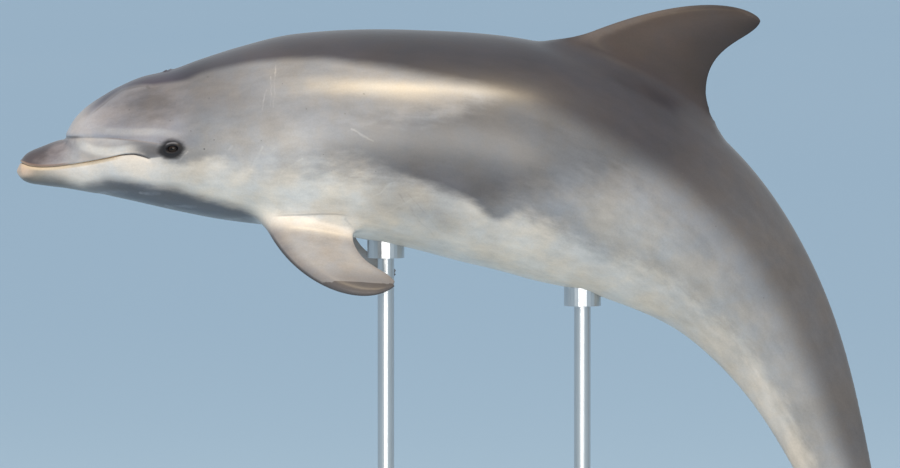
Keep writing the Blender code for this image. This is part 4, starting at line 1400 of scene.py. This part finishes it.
def paint_lower_jaw(graph, colour):
    """The chin's pale skin, painted blue-grey shade on the throat below it, and the cream lips.
    """
    chin = graph.mix(graph.area("chin behind its front"), CHIN_FRONT, CHIN)
    colour = graph.mix(graph.area("lower jaw"), colour, chin)
    # painted shade: the throat's underside is darkened in the colour, blue-grey as if lit by dark
    # water
    throat = graph.edge(graph.maths("MULTIPLY", graph.attribute("throat"), -1.0), 0.015, 0.018)
    end = graph.maths("MULTIPLY_ADD", graph.height, -0.3, graph.along)
    throat = graph.times(throat, graph.ramp(end, at(0.222), at(0.25), 1.0, 0.0))
    throat = graph.times(throat, graph.ramp(graph.along, at(0.04), at(0.105), 0.8, 0.97))
    dark = graph.mix(graph.area("painted throat shade behind the chin"), THROAT_FRONT_PAINTED_SHADE, THROAT_PAINTED_SHADE)
    colour = graph.mix(throat, colour, dark)
    colour = graph.mix(graph.area("tip"), colour, TIP_CREAM)
    return graph.draw(colour, "gum", "lip")


def paint_fins(graph, colour):
    """Dark dorsal fin, pale flippers dark at the rim and tip, dark flukes paler beneath."""
    def fin_colours(fin, rows, places):
        for way, low, high, start, end, paint in rows:
            fin = graph.mix(graph.ramp(places[way], low, high, start, end), fin, paint)
        return fin

    chord = graph.maths("MULTIPLY_ADD", graph.wobble, 0.08, graph.attribute("dorsal_chord"))
    fin = fin_colours(DORSAL_FRONT_EDGE, DORSAL_COLOURS,
                      {"chord": chord, "span": graph.attribute("dorsal_span")})
    colour = graph.mix(graph.attribute("dorsal"), colour, fin)
    span = graph.maths("MULTIPLY_ADD", graph.wobble, 0.2, graph.attribute("flipper_span"))
    chord = graph.attribute("flipper_chord")
    fin = fin_colours(FLIPPER_PALE, FLIPPER_COLOURS, {"chord": chord, "span": span})
    rim = graph.times(graph.ramp(chord, 0.0, 0.03, 1.0, 0.0),
                      graph.ramp(span, 0.15, 0.4, 0.3, 1.0))
    fin = graph.mix(rim, fin, FLIPPER_RIM)
    colour = graph.mix(graph.attribute("flipper"), colour, fin)
    normal = graph.node("ShaderNodeNewGeometry").outputs["Normal"]
    upper = graph.vector("DOT_PRODUCT", normal, FLUKE_UP, output="Value")
    fin = graph.mix(graph.ramp(upper, -0.4, 0.4), FLUKE_UNDER, FLUKE_TOP)
    return graph.mix(graph.attribute("fluke"), colour, fin)


def paint_scars(graph, colour):
    """Scars and spots on the animal's left, with painted reflections of rippling water on the
    throat and painted shade in the creases behind the flipper.
    """
    def spot_at(along, height):
        return at(along) + MARK_SHIFT, 0.0, at(height) + MARK_SHIFT

    noise = graph.node("ShaderNodeTexNoise", {"Vector": graph.place, "Scale": 34.0,
                       "Detail": 3.0})
    stray = graph.stretch(noise.outputs["Color"], (MARK_WANDER, 0.0, MARK_WANDER))
    flat = graph.stretch(graph.vector("ADD", graph.place, stray), (1.0, 0.0, 1.0))
    left = graph.ramp(graph.side, 0.0, -0.01)
    broken = graph.ramp(graph.noise(graph.place, 42.0, 3.0), 0.34, 0.62, 0.25, 1.0)
    # the ripples are painted reflections and the creases painted shade; the scars are the skin's
    # own
    for rows, paint, share in ((PAINTED_RIPPLE_GLINTS, PAINTED_WATER_GLINT, 0.3), (PAINTED_CREASE_SHADES, LINE_DARK, 0.16),
                               (SCARS, SCAR_PALE, 0.26)):
        for start, end, width in rows:
            mark = graph.group("scar", {"Place": flat, "Half Width": width,
                               "Start": spot_at(*start), "End": spot_at(*end)})["Mask"]
            colour = graph.mix(graph.times(mark, left, broken, share), colour, paint)
    for along, height, radius in SPOTS:
        away = graph.vector("DISTANCE", flat, spot_at(along, height), output="Value")
        spot = graph.ramp(away, radius * 0.3, radius * 1.3, 1.0, 0.0)
        colour = graph.mix(graph.times(spot, left, 0.5), colour, FRECKLE)
    return colour


def paint_marks(graph, colour):
    """Freckles, the bridle, painted shade in the creases of the melon's foot and of the fold over
    the flipper, a painted highlight on the upper lid, the eye's patch, mouth and blowhole.
    """
    freckles = graph.times(graph.grain["Freckles"], graph.area("freckled"), 0.4)
    colour = graph.mix(freckles, colour, FRECKLE)
    # the melon's foot and the fold get painted shade in their creases
    colour = graph.draw(colour, "melon foot shade", "bridle", "smudge", "fold")
    ring = graph.maths("MULTIPLY_ADD", graph.wobble, 0.55, graph.attribute("eye_ring"))
    colour = graph.mix(graph.ramp(ring, 0.7, 1.18, 0.97, 0.0), colour, EYE_DARK)
    # painted highlight: a pale arc on the upper lid standing for the glint on its wet rim
    low, high = (at(EYE[1]) + up for up in LID_HIGHLIGHT_HEIGHT)
    behind = (at(EYE[0]) + back for back in LID_HIGHLIGHT_ALONG)
    lid = graph.times(graph.between(graph.attribute("eye_edge"), *LID_HIGHLIGHT_ARC),
                      graph.ramp(graph.height, low, high),
                      graph.between(graph.along, *behind), 0.4)
    colour = graph.mix(lid, colour, LID_PAINTED_HIGHLIGHT)
    flat = graph.stretch(graph.place, (1.0, 0.0, 1.0))
    ear = graph.vector("DISTANCE", flat, EAR, output="Value")
    colour = graph.mix(graph.ramp(ear, 0.0008, 0.0022, 0.8, 0.0), colour, EYE_DARK)
    width = graph.ramp(graph.along, at(0.066), at(0.1), 0.0006, 0.0015)
    gap = graph.group("marking_stroke", {"Gap": graph.attribute("mouth"), "Along": graph.along,
                      "Half Width": width, "Start": at(-0.02), "End": at(MOUTH_END - 0.001),
                      "Fade": at(0.004)})["Mask"]
    line = graph.mix(graph.area("golden mouth"), MOUTH_DARK, MOUTH_GOLD)
    line = graph.mix(graph.area("dark mouth"), line, LINE_DARK)
    colour = graph.mix(gap, colour, line)
    blowhole = graph.ramp(graph.attribute("blowhole"), 0.0008, 0.003, 1.0, 0.0)
    return graph.mix(blowhole, colour, EYE_DARK)


def belly_slits(graph):
    """Mask of the navel and of the slits under the tail stock, on the middle of the belly."""
    side = graph.maths("ABSOLUTE", graph.side)
    below = graph.ramp(graph.height, 0.0, -0.01)
    mask = None
    for middle, reach, width, off in BELLY_SLITS:
        away = graph.maths("ABSOLUTE", graph.maths("SUBTRACT", graph.along, at(middle)))
        line = graph.ramp(graph.maths("ABSOLUTE", graph.maths("SUBTRACT", side, off)),
                          0.3 * width, width, 1.0, 0.0)
        slit = graph.times(line, graph.ramp(away, 0.7 * reach, reach, 1.0, 0.0), below)
        mask = slit if mask is None else graph.maths("MAXIMUM", mask, slit)
    return mask


def skin_material():
    """The whole skin: its colours, mottling, gloss and fine relief."""
    made, graph, shader = new_material("wet_skin", SkinGraph)
    grain = graph.grain
    colour = paint_body(graph)
    for paint in (paint_melon, paint_upper_jaw, paint_lower_jaw, paint_fins, paint_scars,
                  paint_marks):
        colour = paint(graph, colour)
    slits = belly_slits(graph)
    colour = graph.mix(graph.times(slits, 0.75), colour, LINE_DARK)
    tone, *others = (graph.maths("MULTIPLY_ADD", grain[name], share, added)
                     for name, share, added in TONES)
    for other in others:
        tone = graph.maths("ADD", tone, other)
    toned = graph.node("ShaderNodeVectorMath", {0: colour, "Scale": tone}, operation="SCALE")
    cast = graph.mix(grain["Cast"], CAST_COOL, CAST_WARM)
    graph.feed(shader["Base Color"], graph.vector("MULTIPLY", toned.outputs["Vector"], cast))
    dull = graph.maths("MAXIMUM", graph.ramp(graph.attribute("dorsal"), 0.0, 0.35),
                       graph.ramp(graph.attribute("eye_ring"), 0.9, 1.5, 1.0, 0.0))
    dull = graph.maths("MAXIMUM", dull, graph.times(graph.attribute("flipper"), 0.7))
    rough = graph.maths("MULTIPLY_ADD", grain["Streaks"], *ROUGH)
    graph.feed(shader["Roughness"], graph.maths("MULTIPLY_ADD", dull, ROUGH_DULL, rough))
    graph.feed(shader["Coat Weight"], graph.maths("MULTIPLY_ADD", dull, COAT_DULL, COAT))
    shader["Coat Roughness"].default_value = COAT_ROUGH
    shader["IOR"].default_value = SKIN_IOR
    film = graph.noise(graph.objects, 120.0, 2.0)
    relief = graph.maths("ADD", graph.times(grain["Speckle"], 0.5), film)
    graph.bump(shader, 0.2, 0.001, graph.maths("MULTIPLY_ADD", slits, -3.0, relief))
    return made


make_edge_group()
make_stroke_group()
make_scar_group()
make_grain_group()
skin.data.materials.clear()
skin.data.materials.append(skin_material())


# ---------------------------------------------------------------- eyes
PUPIL = (0.002, 0.002, 0.002)
IRIS = (0.005, 0.003, 0.002)
IRIS_RAYS = (0.022, 0.012, 0.007)
IRIS_EDGE = (0.0066, 0.0078)       # metres from the middle of the gaze
EYE_RIM = (0.012, 0.01, 0.01)
HEAD_HALF = 0.053                  # about half the head's width there
CORNEA_RISE = 0.0008
CORNEA_WIDTH = 0.2                # share of the half turn from front to back


def eye_material():
    """Dark ball with a brown iris of fine rays and a crescent pupil."""
    made, graph, shader = new_material("eye")
    gaze = graph.attribute("gaze", "Vector")
    spot = graph.node("ShaderNodeSeparateXYZ", {0: gaze}).outputs

    def radius(across, up):
        squares = graph.maths("ADD", graph.times(across, across), graph.times(up, up))
        return graph.maths("SQRT", squares)

    out = radius(spot[0], spot[1])
    bent = graph.maths("MULTIPLY_ADD", graph.times(spot[0], spot[0]), 60.0, spot[1])
    pupil = radius(graph.maths("MULTIPLY", spot[0], 0.5), bent)
    rays = graph.noise(graph.vector("NORMALIZE", gaze), 14.0, 4.0)
    iris = graph.mix(rays, IRIS, IRIS_RAYS)
    colour = graph.mix(graph.ramp(out, *IRIS_EDGE), iris, EYE_RIM)
    colour = graph.mix(graph.ramp(pupil, 0.0016, 0.0022, 1.0, 0.0), colour, PUPIL)
    graph.feed(shader["Base Color"], colour)
    graph.feed(shader["Roughness"], graph.ramp(out, 0.006, 0.012, 0.03, 0.16))
    shader["IOR"].default_value = 1.3
    shader["Coat Weight"].default_value = 0.0
    shader["Coat Roughness"].default_value = 0.03
    return made


def make_eyes(surface):
    """Both eyeballs, set square to the body's surface."""
    for name, side in (("eye_left", -1), ("eye_right", 1)):
        guess = to_world(*(np.array([v]) for v in (EYE[0], side * HEAD_HALF, EYE[1])))
        for _ in range(6):
            distance, gaze = form_distance(BODY, BODY_TABLES, guess)
            guess = guess - np.array([[0.0, 1.0, 0.0]]) * (distance / gaze[:, 1])[:, None]
        gaze = gaze[0] / np.linalg.norm(gaze[0])
        centre = guess[0] - EYE_DEPTH * gaze
        pitch = np.interp(EYE[0], FINE, AXIS_PITCH)
        upright = np.array([math.sin(pitch), 0.0, math.cos(pitch)])
        upright -= gaze * (upright @ gaze)
        upright /= np.linalg.norm(upright)
        across = np.cross(upright, gaze)
        made, latitude, longitude = ball("eyeball_" + name[4:], *EYE_RINGS)
        radius = EYE_RADIUS + CORNEA_RISE * bell(latitude, CORNEA_WIDTH)
        flat = radius * np.sin(latitude * math.pi)
        local = np.stack([flat * np.cos(longitude), flat * np.sin(longitude),
                          radius * np.cos(latitude * math.pi)], -1)
        set_points(made, centre + local @ np.stack([across, upright, gaze]))
        store(made, "gaze", local)
        outward(made)
        bpy.ops.object.shade_smooth()
        made.data.materials.clear()
        made.data.materials.append(surface)
        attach(made, "root")
        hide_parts(name)


make_eyes(eye_material())


# ---------------------------------------------------------------- stand
STEEL = ((0.5, 0.51, 0.52), (0.6, 0.61, 0.62))
PLATE = ((0.17, 0.175, 0.18), (0.21, 0.215, 0.22))


def steel_material():
    """Brushed steel of the posts, flanges and cups."""
    made, graph, shader = new_material("satin_steel")
    objects = graph.node("ShaderNodeTexCoord").outputs["Object"]
    brushed = graph.noise(graph.stretch(objects, (30.0, 30.0, 900.0)), 1.0, 3.0)
    smears = graph.noise(objects, 9.0, 2.0)
    graph.feed(shader["Base Color"], graph.mix(smears, *STEEL))
    graph.feed(shader["Roughness"], graph.maths("MULTIPLY_ADD", brushed, 0.22, 0.22))
    shader["Metallic"].default_value = 1.0
    graph.bump(shader, 0.06, 0.0004, brushed)
    return made


def plate_material():
    """Grained grey coat of the base plate."""
    made, graph, shader = new_material("powder_coat")
    objects = graph.node("ShaderNodeTexCoord").outputs["Object"]
    grains = graph.noise(objects, 700.0, 2.0)
    patches = graph.noise(objects, 6.0, 3.0)
    graph.feed(shader["Base Color"], graph.mix(patches, *PLATE))
    graph.feed(shader["Roughness"], graph.maths("MULTIPLY_ADD", patches, 0.15, 0.42))
    graph.bump(shader, 0.15, 0.0004, grains)
    return made


def dress_stand():
    """Give the stand's solids their materials."""
    steel = steel_material()
    plate = plate_material()
    for name, node in frame["nodes"].items():
        if name.startswith("stand_"):
            node.data.materials.clear()
            node.data.materials.append(plate if name == "stand_base" else steel)


dress_stand()


# ---------------------------------------------------------------- studio
FLOOR_BLUE = (0.44, 0.585, 0.715)
FLOOR_PALE = (0.49, 0.62, 0.73)
FLOOR_SIZE = 240.0
TARGET = (-0.0103, 0.0, 0.8543)    # what the camera looks at, from how far, how high and how wide
REACH = 18.0
ELEVATION = math.radians(3.0)
VIEW_WIDTH = 1.8482
SENSOR = 36.0
FAR = 400.0
LAMPS = (("key", (0.2, -3.15, 5.3), (2.4, 0.5), 208.0, (1.0, 0.8, 0.52)),
         ("fill", (-0.4, -7.0, 1.7), (4.5, 3.0), 240.0, (1.0, 0.95, 0.88)))
LAMP_TARGET = (0.0, 0.0, 0.9)
SKY = (0.82, 0.92, 1.0, 1.0)
SKY_STRENGTH = 0.75


def floor_material():
    """Pale blue, a little cloudy, without gloss."""
    made, graph, shader = new_material("pale_floor")
    objects = graph.node("ShaderNodeTexCoord").outputs["Object"]
    clouds = graph.noise(objects, 0.05, 2.0)
    graph.feed(shader["Base Color"], graph.mix(clouds, FLOOR_BLUE, FLOOR_PALE))
    shader["Roughness"].default_value = 0.9
    return made


def add_lamp(name, location, size, power, colour):
    """Rectangular lamp that faces the middle of the animal."""
    bpy.ops.object.light_add(type="AREA", location=location)
    lamp = bpy.context.object
    lamp.name = name
    lamp.data.shape = "RECTANGLE"
    lamp.data.size, lamp.data.size_y = size
    lamp.data.energy = power
    lamp.data.color = colour
    way = Vector(LAMP_TARGET) - lamp.location
    lamp.rotation_euler = way.to_track_quat("-Z", "Y").to_euler()


def add_camera():
    bpy.ops.object.camera_add()
    camera = bpy.context.object
    back = Vector((0.0, -math.cos(ELEVATION), math.sin(ELEVATION)))
    camera.location = Vector(TARGET) + REACH * back
    camera.rotation_euler = (math.pi / 2 - ELEVATION, 0.0, 0.0)
    camera.data.sensor_width = SENSOR
    camera.data.lens = SENSOR * REACH / VIEW_WIDTH
    camera.data.clip_end = FAR
    bpy.context.scene.camera = camera


def studio():
    """Pale blue floor, camera, sun-coloured key lamp, soft fill and sky."""
    deselect()
    bpy.ops.mesh.primitive_plane_add(size=FLOOR_SIZE, location=(0.0, 0.0, 0.0))
    floor = bpy.context.object
    floor.name = "floor"
    floor.data.materials.append(floor_material())
    add_camera()
    for lamp in LAMPS:
        add_lamp(*lamp)
    world = bpy.data.worlds.new("studio")
    bpy.context.scene.world = world
    world.use_nodes = True
    sky = world.node_tree.nodes["Background"].inputs
    sky["Color"].default_value = SKY
    sky["Strength"].default_value = SKY_STRENGTH
    bpy.context.scene.view_settings.view_transform = "Standard"


studio()
